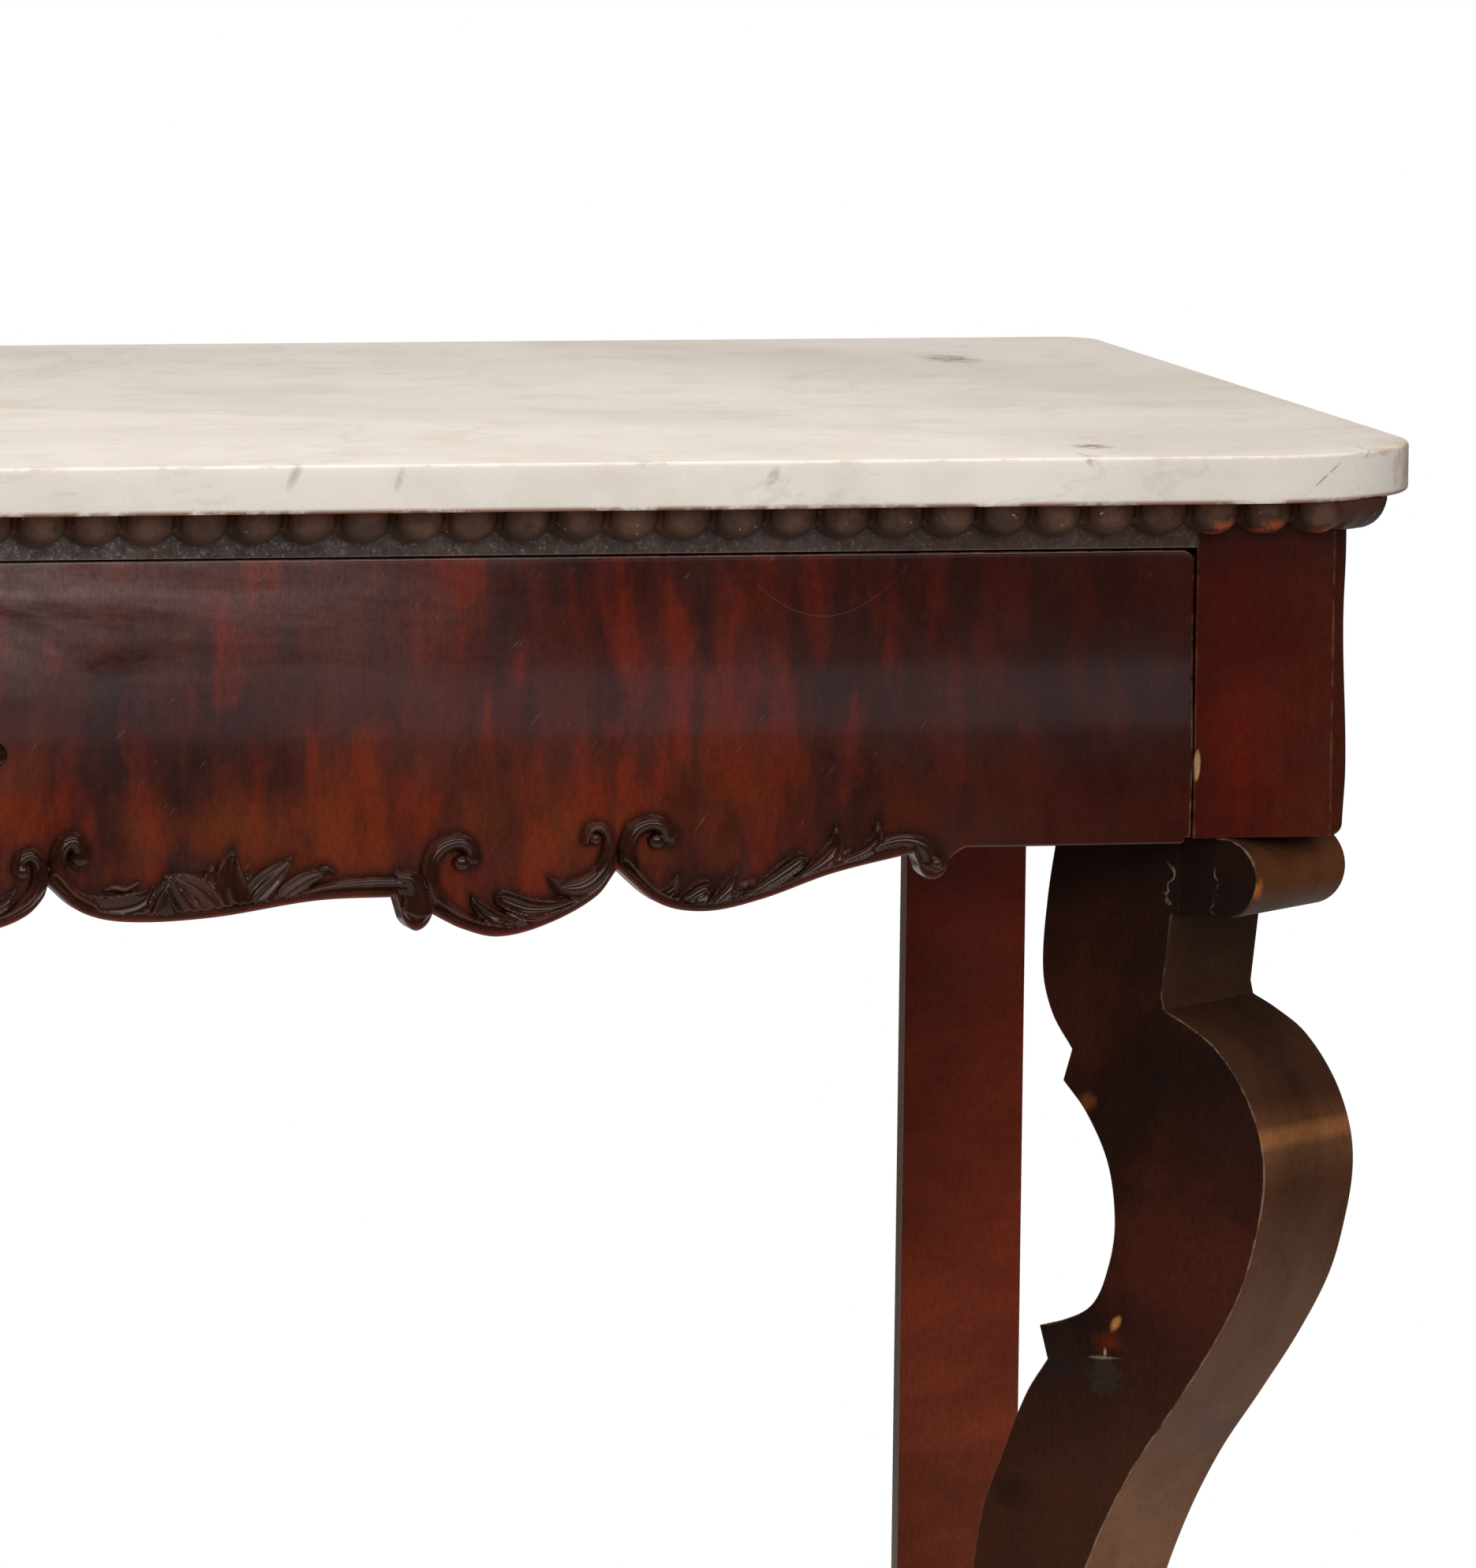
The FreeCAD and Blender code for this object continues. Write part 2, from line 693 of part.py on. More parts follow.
def cut_darts(body, first, count, axis, outline):
    """Upright cuts between the eggs, repeated at the egg pitch."""
    sketch = draw(body, "dart", "plan", outline(first), offset="case_top + marble_thickness")
    cut = pocket(body, sketch, "2 * marble_thickness + moulding_height")
    pattern = body.newObject("PartDesign::LinearPattern", body.Name + "_darts")
    pattern.Originals = [cut]
    pattern.Direction = (sketch, [axis])
    pattern.Mode = "Spacing"
    pattern.setExpression("Offset", expand("egg_pitch"))
    pattern.Occurrences = count
    body.Tip = pattern


def make_egg_mouldings():
    """The moulding under the marble: one length in front with its corners, one at each side."""
    pitch = v["egg_pitch"]
    outer = v["case_front"] - v["moulding_projection"]
    deep = outer + v["dart_depth"]
    proud = outer - v["cut_overrun"]
    mouth = v["dart_width"] / 2
    turn = v["case_corner_radius"]

    front = new_body("egg_moulding_front")
    section = draw(front, "section", "section", ovolo(v["case_front"], -1))
    pad(front, section, "2 * (case_half - case_corner_radius)", middle=True)
    for side, sign in SIDES:
        corner = draw(
            front,
            "corner_" + side,
            "section",
            ovolo(-turn, -1),
            offset=f"{sign} * (case_half - case_corner_radius)",
            shift="case_front + case_corner_radius",
        )
        revolve(front, corner, 90, clockwise=sign < 0)
    count = int((v["case_half"] - turn) / pitch) * 2

    def front_dart(start):
        tip = (start, deep, 0)
        return polygon([(start - mouth, proud, 0), (start + mouth, proud, 0), tip])

    cut_darts(front, (1 - count) * pitch / 2, count, "H_Axis", front_dart)

    start = v["case_front"] + turn
    side_count = int((v["case_back"] - start) / pitch)
    for side, sign in SIDES:
        body = new_body("egg_moulding_" + side)
        face = sign * v["case_half"]
        section = draw(body, "section", "front", ovolo(face, sign), offset="-(case_back)")
        pad(body, section, "case_back - case_front - case_corner_radius")
        edge = face + sign * (v["moulding_projection"] + v["cut_overrun"])
        tip = face + sign * (v["moulding_projection"] - v["dart_depth"])

        def side_dart(place):
            return polygon([(edge, place - mouth, 0), (edge, place + mouth, 0), (tip, place, 0)])

        cut_darts(body, start + pitch / 2, side_count, "V_Axis", side_dart)


# ---- what the drawer runs on ----------------------------------------------------------------


def make_drawer_supports():
    along_case = ("block_back", "inside_back")
    for side, sign in SIDES:
        across = on_side(sign, "opening_half - runner_width", "opening_half - guide_width")
        board("drawer_runner_" + side, across, along_case, ("board_top", "runner_top"))
        across = on_side(sign, "opening_half - guide_width", "opening_half")
        board("drawer_guide_" + side, across, along_case, ("board_top", "board_top + guide_height"))
        across = on_side(sign, "box_half - 2 * drawer_side_thickness", "box_half")
        along = ("box_back + slide_play", "box_back + slide_play + stop_length")
        rise = ("runner_top", "runner_top + guide_height / 2")
        board("drawer_stop_" + side, across, along, rise)


# ---- drawer ---------------------------------------------------------------------------------


def make_drawer_front():
    """A thick front with an ogee face, thinned behind its apron, and a shaped lower edge."""
    body = new_body("drawer_front")
    edges = apron_edge(1) + apron_edge(-1)
    upper = v["drawer_half"] - v["drawer_top_corner"]
    edges.append(line((-upper, v["drawer_top"], 0), (upper, v["drawer_top"], 0)))
    outline = draw(body, "outline", "front", edges, offset="-(front_inside)")
    slab = pad(body, outline, "drawer_front_thickness + frieze_bulge")

    face = v["case_front"]
    proud = face - 2 * v["frieze_bulge"] - v["cut_overrun"]
    low = v["drawer_edge"] - 2 * v["apron_depth"]
    plumb = v["board_top"]
    waste = [
        *frieze_face(face, -1, v["drawer_top"], plumb),
        line((face, plumb, 0), (face, low, 0)),
        line((face, low, 0), (proud, low, 0)),
        line((proud, low, 0), (proud, v["drawer_top"], 0)),
        line((proud, v["drawer_top"], 0), (face, v["drawer_top"], 0)),
    ]
    inside = v["front_inside"]
    behind = inside + v["cut_overrun"]
    thin = face + v["apron_thickness"]
    step = v["case_bottom"] + inside - thin
    slope = step + inside - thin
    waste += polygon(
        [(thin, low, 0), (thin, step, 0), (inside, slope, 0), (behind, slope, 0), (behind, low, 0)]
    )
    section = draw(body, "section", "section", waste)
    shaped = pocket(body, section, "2 * drawer_half + 2 * drawer_front_thickness", middle=True)
    upright = v["drawer_half"] - NEAR
    shallow = face + v["cut_overrun"]
    bevel_edges(
        body,
        shaped,
        "drawer_bevel",
        lambda edge: abs(edge.CenterOfMass.x) > upright and edge.BoundBox.YMax < shallow,
    )
    for side, sign in SIDES:
        outer = "box_half" if sign > 0 else "-(box_inside)"
        sockets = draw(body, "sockets_" + side, "section", dovetails(), offset=outer)
        pocket(body, sockets, "drawer_side_thickness")
    make_rosette(body)


def dovetails():
    """Tails in side view, one over the other, running forward from the back of the drawer front."""
    root = v["front_inside"]
    tip = root - v["tail_depth"]
    narrow = v["tail_width"] / 2
    wide = narrow + v["tail_flare"]
    edges = []
    for number in range(int((v["box_high"] - v["box_low"]) / v["tail_pitch"])):
        middle = v["box_low"] + (number + 0.5) * v["tail_pitch"]
        edges += polygon(
            [
                (root, middle - narrow, 0),
                (root, middle + narrow, 0),
                (tip, middle + wide, 0),
                (tip, middle - wide, 0),
            ]
        )
    return edges


def make_rosette(drawer_front):
    """An oval ornament, its back fitted to the ogee of the drawer front."""
    centre = Vector(0, v["case_top"] - v["rosette_drop"], 0)
    oval = Part.Ellipse(centre, v["rosette_width"] / 2, v["rosette_height"] / 2)
    blank = document.addObject("PartDesign::Body", "rosette_blank")
    outline = draw(blank, "outline", "front", [oval], offset="-(case_front + 2 * frieze_hollow)")
    pad(blank, outline, "2 * frieze_hollow + carving_relief")
    rosette = document.addObject("Part::Cut", "drawer_rosette")
    rosette.Base = blank
    rosette.Tool = drawer_front
    keep(rosette, "drawer_rosette")


def make_drawer_box():
    for side, sign in SIDES:
        body = new_body("drawer_side_" + side)
        outer = sign * v["box_half"]
        inner = sign * v["box_inside"]
        groove = inner + sign * v["groove_depth"]
        corners = [
            (outer, v["box_low"], 0),
            (outer, v["box_high"], 0),
            (inner, v["box_high"], 0),
            (inner, v["bottom_high"], 0),
            (groove, v["bottom_high"], 0),
            (groove, v["bottom_low"], 0),
            (inner, v["bottom_low"], 0),
            (inner, v["box_low"], 0),
        ]
        section = draw(body, "section", "front", polygon(corners), offset="-(box_back)")
        pad(body, section, "box_back - front_inside")
        near = "box_inside" if sign > 0 else "-(box_half)"
        tails = draw(body, "tails", "section", dovetails(), offset=near)
        pad(body, tails, "drawer_side_thickness")
    board(
        "drawer_back",
        ("-(box_inside)", "box_inside"),
        ("box_back - drawer_side_thickness", "box_back"),
        ("bottom_high", "box_high - drawer_back_step"),
    )
    for side, sign in SIDES:
        across = on_side(
            sign, "muntin_width / 2 - groove_depth", "box_inside + groove_depth - groove_play"
        )
        rise = ("bottom_low", "bottom_high")
        board("drawer_bottom_" + side, across, ("front_inside", "box_back"), rise)
    make_muntin()


def make_muntin():
    """The strip between the two drawer bottoms, with a flange under each."""
    body = new_body("drawer_muntin")
    flange = v["muntin_width"] / 2
    web = flange - v["groove_depth"]
    under = v["bottom_low"] - v["muntin_thickness"]
    right = [
        (flange, under, 0),
        (flange, v["bottom_low"], 0),
        (web, v["bottom_low"], 0),
        (web, v["bottom_high"], 0),
    ]
    outline = polygon(right + flip(right[::-1], -1))
    section = draw(body, "section", "front", outline, offset="-(box_back)")
    pad(body, section, "box_back - front_inside")


# Carved scrolls of the apron, right half.  A stem runs through points (across, down, half width
# in mm) and a volute is (across, down, radius in mm), with across and down as in APRON_LOBES.
OUTER_STEMS = (
    ((0.117, 0.02, 3.5), (0.138, 0.38, 6), (0.220, 0.49, 8), (0.450, 0.30, 4.5)),
    ((0.489, -0.02, 4), (0.496, 0.42, 5), (0.548, 0.74, 6.5), (0.643, -0.08, 3.5)),
    ((0.673, -0.22, 4), (0.677, 0.20, 5), (0.740, 0.49, 6.5), (0.885, 0.02, 6.5), (0.963, 0.08, 3)),
)
OUTER_VOLUTES = ((0.1395, -0.12, 9), (0.502, -0.06, 8), (0.634, -0.20, 6.5), (0.690, -0.22, 9))
CENTRE_STEM = ((0, 0.64, 6), (0.045, 0.62, 6), (0.081, 0.42, 5), (0.098, -0.02, 3))
CENTRE_VOLUTE = (0.0895, 0.02, 6)


def stem_face(stem, sign):
    """A ribbon along the stem whose half width changes from point to point."""
    middle = [Vector(*apron_point(across, down)) for across, down, _ in stem]
    one_side, other_side = [], []
    for n, (_, _, half) in enumerate(stem):
        along = middle[min(n + 1, len(middle) - 1)] - middle[max(n - 1, 0)]
        normal = Vector(-along.y, along.x, 0).normalize() * half
        one_side.append((sign * (middle[n].x + normal.x), middle[n].y + normal.y, 0))
        other_side.append((sign * (middle[n].x - normal.x), middle[n].y - normal.y, 0))
    edges = curve(one_side) + curve(other_side)
    edges.append(line(one_side[0], other_side[0]))
    edges.append(line(one_side[-1], other_side[-1]))
    rim = Part.sortEdges([edge.toShape() for edge in edges])[0]
    return Part.Face(Part.Wire(rim))


def volute_face(volute, sign):
    across, down, radius = volute
    centre = Vector(*apron_point(sign * across, down))
    return Part.Face(Part.Wire([Part.Circle(centre, Vector(0, 0, 1), radius).toShape()]))


def make_carving(label, stems, volutes, signs):
    """Flat relief of stems and volutes on the face of the apron."""
    faces = []
    for sign in signs:
        faces += [stem_face(stem, sign) for stem in stems]
        faces += [volute_face(volute, sign) for volute in volutes]
    solids = [face.extrude(Vector(0, 0, v["carving_relief"])) for face in faces]
    feature = document.addObject("Part::Feature", label)
    feature.Shape = solids[0].multiFuse(solids[1:]).removeSplitter()
    feature.Placement = FreeCAD.Placement(
        Vector(0, v["case_front"], 0), FreeCAD.Rotation(Vector(1, 0, 0), 90)
    )
    keep(feature, label)


def make_carvings():
    for side, sign in SIDES:
        make_carving("apron_carving_" + side, OUTER_STEMS, OUTER_VOLUTES, (sign,))
    make_carving("apron_carving_centre", (CENTRE_STEM,), (CENTRE_VOLUTE,), (-1, 1))


# ---- legs -----------------------------------------------------------------------------------


def stand_on_diagonal(body, sign, half, front, setback):
    """Turn a piece drawn from the side to run back along the diagonal of a front corner.

    The sharp corner is at half and front, and the piece starts at setback from it.
    """
    body.Placement.Rotation = FreeCAD.Rotation(Vector(0, 0, 1), 90 + 45 * sign)
    body.setExpression("Placement.Base.x", expand(f"{sign} * ({half} - sqrt(0.5) * ({setback}))"))
    body.setExpression("Placement.Base.y", expand(f"{front} + sqrt(0.5) * ({setback})"))


def make_front_legs():
    nose = v["roll_radius"]
    top = v["case_bottom"]
    neck = v["roll_depth"]
    for side, sign in SIDES:
        leg = new_body("front_leg_" + side)
        profile = draw(leg, "profile", "front", leg_profile())
        pad(leg, profile, "leg_width", middle=True)
        stand_on_diagonal(leg, sign, "case_half", "case_front", "leg_setback")

        roll = new_body("leg_roll_" + side)
        edges = [
            line((neck, top - 2 * nose, 0), (neck, top, 0)),
            line((neck, top, 0), (nose, top, 0)),
            arc((nose, top, 0), (0, top - nose, 0), (nose, top - 2 * nose, 0)),
            line((nose, top - 2 * nose, 0), (neck, top - 2 * nose, 0)),
        ]
        profile = draw(roll, "profile", "front", edges)
        pad(roll, profile, "leg_width", middle=True)
        stand_on_diagonal(roll, sign, "case_half", "case_front", "leg_setback")


def make_rear_legs():
    rise = ("platform_top", "case_bottom")
    for side, sign in SIDES:
        across = on_side(sign, "case_half - pilaster_width", "case_half")
        along = ("rear_front", "rear_front + pilaster_thickness")
        board("rear_pilaster_" + side, across, along, rise)
        margin = "(pilaster_width - post_width) / 2"
        across = on_side(sign, f"case_half - pilaster_width + {margin}", f"case_half - {margin}")
        along = ("rear_front + pilaster_thickness", "case_back")
        board("rear_post_" + side, across, along, rise)


# ---- platform and feet ----------------------------------------------------------------------


def make_platform():
    body = new_body("platform_board")
    outline = platform_outline(
        v["platform_half"], v["platform_front"], v["platform_cant"], v["case_back"]
    )
    plan = draw(body, "plan", "plan", outline, offset="frame_top")
    slab = pad(body, plan, "platform_board_thickness")
    upper = v["platform_top"] - NEAR
    wall = v["case_back"] - NEAR
    bevel_edges(
        body,
        slab,
        "platform_bevel",
        lambda edge: edge.BoundBox.ZMin > upper and edge.BoundBox.YMin < wall,
    )
    make_platform_front_rail()
    rise = ("foot_height", "frame_top")
    for side, sign in SIDES:
        make_plinth_block(side, sign)
        across = on_side(sign, "frame_half - platform_rail_thickness", "frame_half")
        board("platform_rail_" + side, across, ("plinth_back", "rear_plinth_front"), rise)
        across = on_side(sign, "rear_plinth_inside", "frame_half")
        board("rear_plinth_block_" + side, across, ("rear_plinth_front", "case_back"), rise)
    board(
        "platform_rail_back",
        ("-(rear_plinth_inside)", "rear_plinth_inside"),
        ("case_back - platform_rail_thickness", "case_back"),
        rise,
    )


def make_platform_front_rail():
    """The swept front rail: the platform's own ogee, carried back by the rail's thickness."""
    body = new_body("platform_rail_front")
    half = v["plinth_inside"]
    front = v["frame_front"]
    thick = v["platform_rail_thickness"]
    recess = v["platform_recess"]
    run = v["platform_sweep"]
    land = v["platform_half"] - v["platform_cant"] - v["platform_corner_land"]
    turn = 2 * math.atan(recess / run)
    radius = run / 2 / math.sin(turn)
    part_way = (radius * math.sin(turn / 2), radius * (1 - math.cos(turn / 2)))
    edges = []
    for sign in (1, -1):
        for back in (0, thick):
            near = front + back
            far = near + recess
            middle = (land - run / 2, near + recess / 2, 0)
            outer = (land - part_way[0], near + part_way[1], 0)
            inner = (land - run + part_way[0], far - part_way[1], 0)
            edges += [
                line((sign * half, near, 0), (sign * land, near, 0)),
                arc(*flip([(land, near, 0), outer, middle], sign)),
                arc(*flip([middle, inner, (land - run, far, 0)], sign)),
            ]
        edges.append(line((sign * half, front, 0), (sign * half, front + thick, 0)))
    for back in (0, thick):
        far = front + back + recess
        edges.append(line((run - land, far, 0), (land - run, far, 0)))
    plan = draw(body, "plan", "plan", edges, offset="foot_height")
    pad(body, plan, "platform_rail_height")


def make_plinth_block(side, sign):
    """Corner of the platform frame, cut across like the board above it."""
    body = new_body("plinth_block_" + side)
    half = v["frame_half"]
    front = v["frame_front"]
    cant = v["frame_cant"]
    corners = [
        (v["plinth_inside"], front, 0),
        (half - cant, front, 0),
        (half, front + cant, 0),
        (half, v["plinth_back"], 0),
        (v["plinth_inside"], v["plinth_back"], 0),
    ]
    plan = draw(body, "plan", "plan", polygon(flip(corners, sign)), offset="foot_height")
    pad(body, plan, "platform_rail_height")


# Direction of the crease where a foot's scroll meets the hollow over it, in degrees from level.
FOOT_CREASE = 112


def make_feet():
    """Scroll feet: on the diagonal under the front corners, square to the wall at the back."""
    high = v["foot_height"]
    long = v["foot_length"]
    scroll = v["foot_scroll_radius"]
    fascia = high - v["foot_fascia"]
    crease = on_circle((scroll, scroll), scroll, FOOT_CREASE)
    hollow = ((crease[0] + scroll * QUARTER_BEND) / 2, fascia - scroll * QUARTER_BEND / 8, 0)
    heel = (long - scroll, 0, 0)
    edges = [
        line((0, high, 0), (0, fascia, 0)),
        arc((0, fascia, 0), hollow, crease),
        arc(crease, (0, scroll, 0), (scroll, 0, 0)),
        line((scroll, 0, 0), heel),
        arc(heel, (long - scroll * QUARTER_BEND, fascia * QUARTER_BEND, 0), (long, fascia, 0)),
        line((long, fascia, 0), (long, high, 0)),
        line((long, high, 0), (0, high, 0)),
    ]
    for side, sign in SIDES:
        front = new_body("foot_front_" + side)
        pad(front, draw(front, "profile", "front", edges), "foot_width", middle=True)
        setback = "frame_cant * sqrt(0.5) + foot_setback"
        stand_on_diagonal(front, sign, "frame_half", "frame_front", setback)

        rear = new_body("foot_rear_" + side)
        pad(rear, draw(rear, "profile", "front", edges), "foot_width", middle=True)
        rear.Placement.Rotation = FreeCAD.Rotation(Vector(0, 0, 1), 90)
        across = f"{sign} * (frame_half - rear_plinth_width / 2)"
        rear.setExpression("Placement.Base.x", expand(across))
        rear.setExpression("Placement.Base.y", expand("rear_plinth_front + foot_setback"))


# ---- glue blocks ----------------------------------------------------------------------------


def make_glue_blocks():
    """Softwood blocks in the angles of the case, one group of separate solids."""
    inner = "case_half - side_panel_thickness"
    rows = ("block_back + glue_block_length", "rear_front - 2 * glue_block_length")
    blocks = []
    for side, sign in SIDES:
        for number, start in enumerate(rows):
            block = document.addObject("Part::Box", f"block_{side}_{number}")
            low, _ = on_side(sign, f"{inner} - glue_block", inner)
            block.setExpression("Length", expand("glue_block"))
            block.setExpression("Width", expand("glue_block_length"))
            block.setExpression("Height", expand("glue_block"))
            block.setExpression("Placement.Base.x", expand(low))
            block.setExpression("Placement.Base.y", expand(start))
            block.setExpression("Placement.Base.z", expand("board_top"))
            blocks.append(block)
    group = document.addObject("Part::Compound", "case_glue_blocks")
    group.Links = blocks
    keep(group, "case_glue_blocks")


# ---- build, check, write --------------------------------------------------------------------


def check():
    for item in document.Objects:
        if "Invalid" in item.State or "Error" in item.State:
            raise RuntimeError(f"{item.Name} did not build: {item.State}")
    for piece in pieces:
        if piece.Shape.isNull() or not piece.Shape.isValid():
            raise RuntimeError(f"{piece.Label} has no valid shape")


def write():
    os.makedirs("parts", exist_ok=True)
    for piece in pieces:
        piece.Shape.exportStep(f"parts/{piece.Label}.step")
    print(len(pieces), "pieces written")


v = read_values(fill_sheet())
make_marble()
make_bearers()
make_egg_mouldings()
make_case()
make_drawer_supports()
make_drawer_front()
make_drawer_box()
make_carvings()
make_front_legs()
make_rear_legs()
make_platform()
make_feet()
make_glue_blocks()
document.recompute()
check()
write()
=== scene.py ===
# %% [markdown]
# # A marble-topped pier table in mahogany
#
# A pier table stands against the wall between two windows.  This one has S-scroll legs under
# its front corners, flat pilasters at the wall and one drawer that fills the whole frieze.
# Every piece of the table that the script builds is a function of two parameters, laid on a
# numpy grid in millimetres and turned to metres when its mesh is made.

import math

import bpy
import numpy as np
from mathutils import Matrix


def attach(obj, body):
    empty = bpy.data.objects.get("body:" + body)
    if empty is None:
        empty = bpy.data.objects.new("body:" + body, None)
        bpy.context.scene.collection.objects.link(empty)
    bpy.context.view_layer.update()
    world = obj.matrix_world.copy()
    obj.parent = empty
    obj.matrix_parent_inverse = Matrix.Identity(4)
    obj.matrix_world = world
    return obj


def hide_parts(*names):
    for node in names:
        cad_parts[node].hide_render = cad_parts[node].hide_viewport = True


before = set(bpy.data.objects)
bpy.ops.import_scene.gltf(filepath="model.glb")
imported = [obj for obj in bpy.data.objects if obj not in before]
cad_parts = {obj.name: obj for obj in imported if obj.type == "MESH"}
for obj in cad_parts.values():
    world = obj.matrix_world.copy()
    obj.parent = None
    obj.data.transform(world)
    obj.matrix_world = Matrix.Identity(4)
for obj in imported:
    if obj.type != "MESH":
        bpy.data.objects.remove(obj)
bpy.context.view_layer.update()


# %% [markdown]
# ## Sizes
# The joiner's sizes, in millimetres as they would stand on a drawing.  The drawer front and
# the corner blocks share one face, so its place is named once.

# %% Sizes
MM = 0.001
MARBLE_HALF, MARBLE_FRONT, MARBLE_TOP = 700.0, -320.0, 900.0
CASE_HALF, CASE_FRONT, CASE_BACK = 660.0, -288.0, 310.0
CASE_LOW, CASE_TOP = 722.0, 878.0
RAIL_LOW = 855.4
OPENING_HALF = 587.0
BLOCK_BACK, PANEL_THICK = -215.0, 20.0
DRAWER_HALF, DRAWER_TOP, DRAWER_EDGE = 586.2, 854.5, 719.5
APRON_HALF, APRON_DEPTH = 479.5, 38.0
PLATFORM_LOW, PLATFORM_TOP = 92.0, 110.0
FRAME_LOW, FRAME_HALF, FRAME_FRONT = 50.0, 674.0, -302.0
REAR_FRONT = 276.0
LEG_WIDTH, LEG_REACH, LEG_SETBACK = 84.0, 147.0, 23.4
EGG_PITCH = 24.8
SIDES = (("left", -1), ("right", 1))
print("case", 2 * CASE_HALF, "x", CASE_BACK - CASE_FRONT, "mm")

# %% [markdown]
# ## Meshes from grids
# One helper turns points and faces into a piece that rides on its body.  It joins points that
# fall together, which closes seams and poles, and it turns the faces outward by the sign of
# the volume that they enclose.

# %% Mesh helpers
finishes = {}


def weld(points, faces):
    """Points within a micrometre become one, and faces lose the corners that fell together."""
    keys = np.round(points / (MM * MM)).astype(np.int64)
    _, first, place = np.unique(keys, axis=0, return_index=True, return_inverse=True)
    place = place.reshape(-1)
    welded = []
    for face in faces:
        corners = place[np.asarray(face)]
        corners = corners[corners != np.roll(corners, 1)]
        if len(corners) > 2:
            welded.append(corners.tolist())
    return points[first], welded, first


def volume(points, faces):
    """Six times the enclosed volume: the sum of p0 . (p1 x p2) over fans of triangles."""
    total = 0.0
    for size in {len(face) for face in faces}:
        block = np.array([face for face in faces if len(face) == size])
        for k in range(1, size - 1):
            a, b, c = points[block[:, 0]], points[block[:, k]], points[block[:, k + 1]]
            total += np.einsum("ij,ij->", a, np.cross(b, c))
    return total


def piece(name, points, faces, finish, body, sharp=38, **paint):
    """A closed piece from points in millimetres; each paint gives one number a point."""
    points = np.asarray(points, float).reshape(-1, 3) * MM
    points, faces, first = weld(points, faces)
    if volume(points, faces) < 0:
        faces = [face[::-1] for face in faces]
    mesh = bpy.data.meshes.new(name)
    mesh.from_pydata(points.tolist(), [], faces)
    mesh.shade_smooth()
    mesh.set_sharp_from_angle(angle=math.radians(sharp))
    for label, values in paint.items():
        layer = mesh.attributes.new(label, "FLOAT", "POINT")
        layer.data.foreach_set("value", np.asarray(values, float).reshape(-1)[first])
    obj = bpy.data.objects.new(name, mesh)
    bpy.context.scene.collection.objects.link(obj)
    mesh.materials.append(finishes[finish])
    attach(obj, body)
    print(f"{name}: {len(points)} points, {len(faces)} faces")
    return obj


def ring_faces(rows, columns):
    """Quads between closed rings: row i to i + 1, column j to j + 1, the last back to the first."""
    i, j = np.meshgrid(np.arange(rows - 1), np.arange(columns), indexing="ij")
    k = (j + 1) % columns
    quads = np.stack([i * columns + j, i * columns + k, (i + 1) * columns + k, (i + 1) * columns + j])
    return quads.reshape(4, -1).T.tolist()


def loft(name, rings, finish, body, sharp=38, **paint):
    """Closed rings of equal length, joined in order and closed by a flat face at each end."""
    rows, columns = rings.shape[:2]
    last = (rows - 1) * columns
    ends = [list(range(columns))[::-1], list(range(last, last + columns))]
    return piece(name, rings, ring_faces(rows, columns) + ends, finish, body, sharp, **paint)


# %% [markdown]
# ## Outlines
# A joiner marks an outline on the board and saws it out.  An outline here is a closed loop of
# points, and `inset` moves each point along the mitre of its two neighbours.  `plank` gives
# the outline a thickness and eases both of its rims, as one stroke of a plane would.

# %% Outlines
MIRROR = np.array([-1.0, 1.0])


def smooth(points, step):
    """Cubic spans through the points.  Each leaves a point along the chord of its neighbours."""
    p = np.asarray(points, float)
    before = np.vstack([2 * p[0] - p[1], p[:-1]])
    after = np.vstack([p[1:], 2 * p[-1] - p[-2]])
    length = np.linalg.norm(np.diff(p, axis=0), axis=1)
    gap = np.linalg.norm(after - before, axis=1)
    slope = (after - before) / gap[:, None]
    spans = []
    for n, long in enumerate(length):
        t = np.linspace(0, 1, max(2, int(math.ceil(long / step)) + 1))[:-1, None]
        leave, arrive = slope[n] * long, slope[n + 1] * long
        spans.append(
            (2 * t**3 - 3 * t**2 + 1) * p[n]
            + (t**3 - 2 * t**2 + t) * leave
            + (3 * t**2 - 2 * t**3) * p[n + 1]
            + (t**3 - t**2) * arrive
        )
    return np.vstack(spans + [p[-1:]])


def arc(centre, radius, start, end, count):
    """Points on a circle between two angles in degrees."""
    angle = np.radians(np.linspace(start, end, count))
    return np.column_stack([centre[0] + radius * np.cos(angle), centre[1] + radius * np.sin(angle)])


def chain(*runs):
    """Runs of points end to end, without the points that repeat."""
    points = np.vstack(runs)
    keep = np.linalg.norm(points - np.roll(points, 1, axis=0), axis=1) > 0.01
    return points[keep]


def rounded(corners, radii, count):
    """A polygon whose corners are turned at the given radii."""
    p = np.asarray(corners, float)
    runs = []
    for n, corner in enumerate(p):
        back = p[n - 1] - corner
        ahead = p[(n + 1) % len(p)] - corner
        back, ahead = back / np.linalg.norm(back), ahead / np.linalg.norm(ahead)
        half = math.acos(np.clip(back @ ahead, -1, 1)) / 2
        radius = radii[n] if hasattr(radii, "__len__") else radii
        reach = radius / math.tan(half)
        centre = corner + (back + ahead) / np.linalg.norm(back + ahead) * radius / math.sin(half)
        start, end = corner + back * reach - centre, corner + ahead * reach - centre
        t = np.linspace(0, 1, count)[:, None]
        turn = start * (1 - t) + end * t
        runs.append(centre + turn / np.linalg.norm(turn, axis=1)[:, None] * radius)
    return chain(*runs)


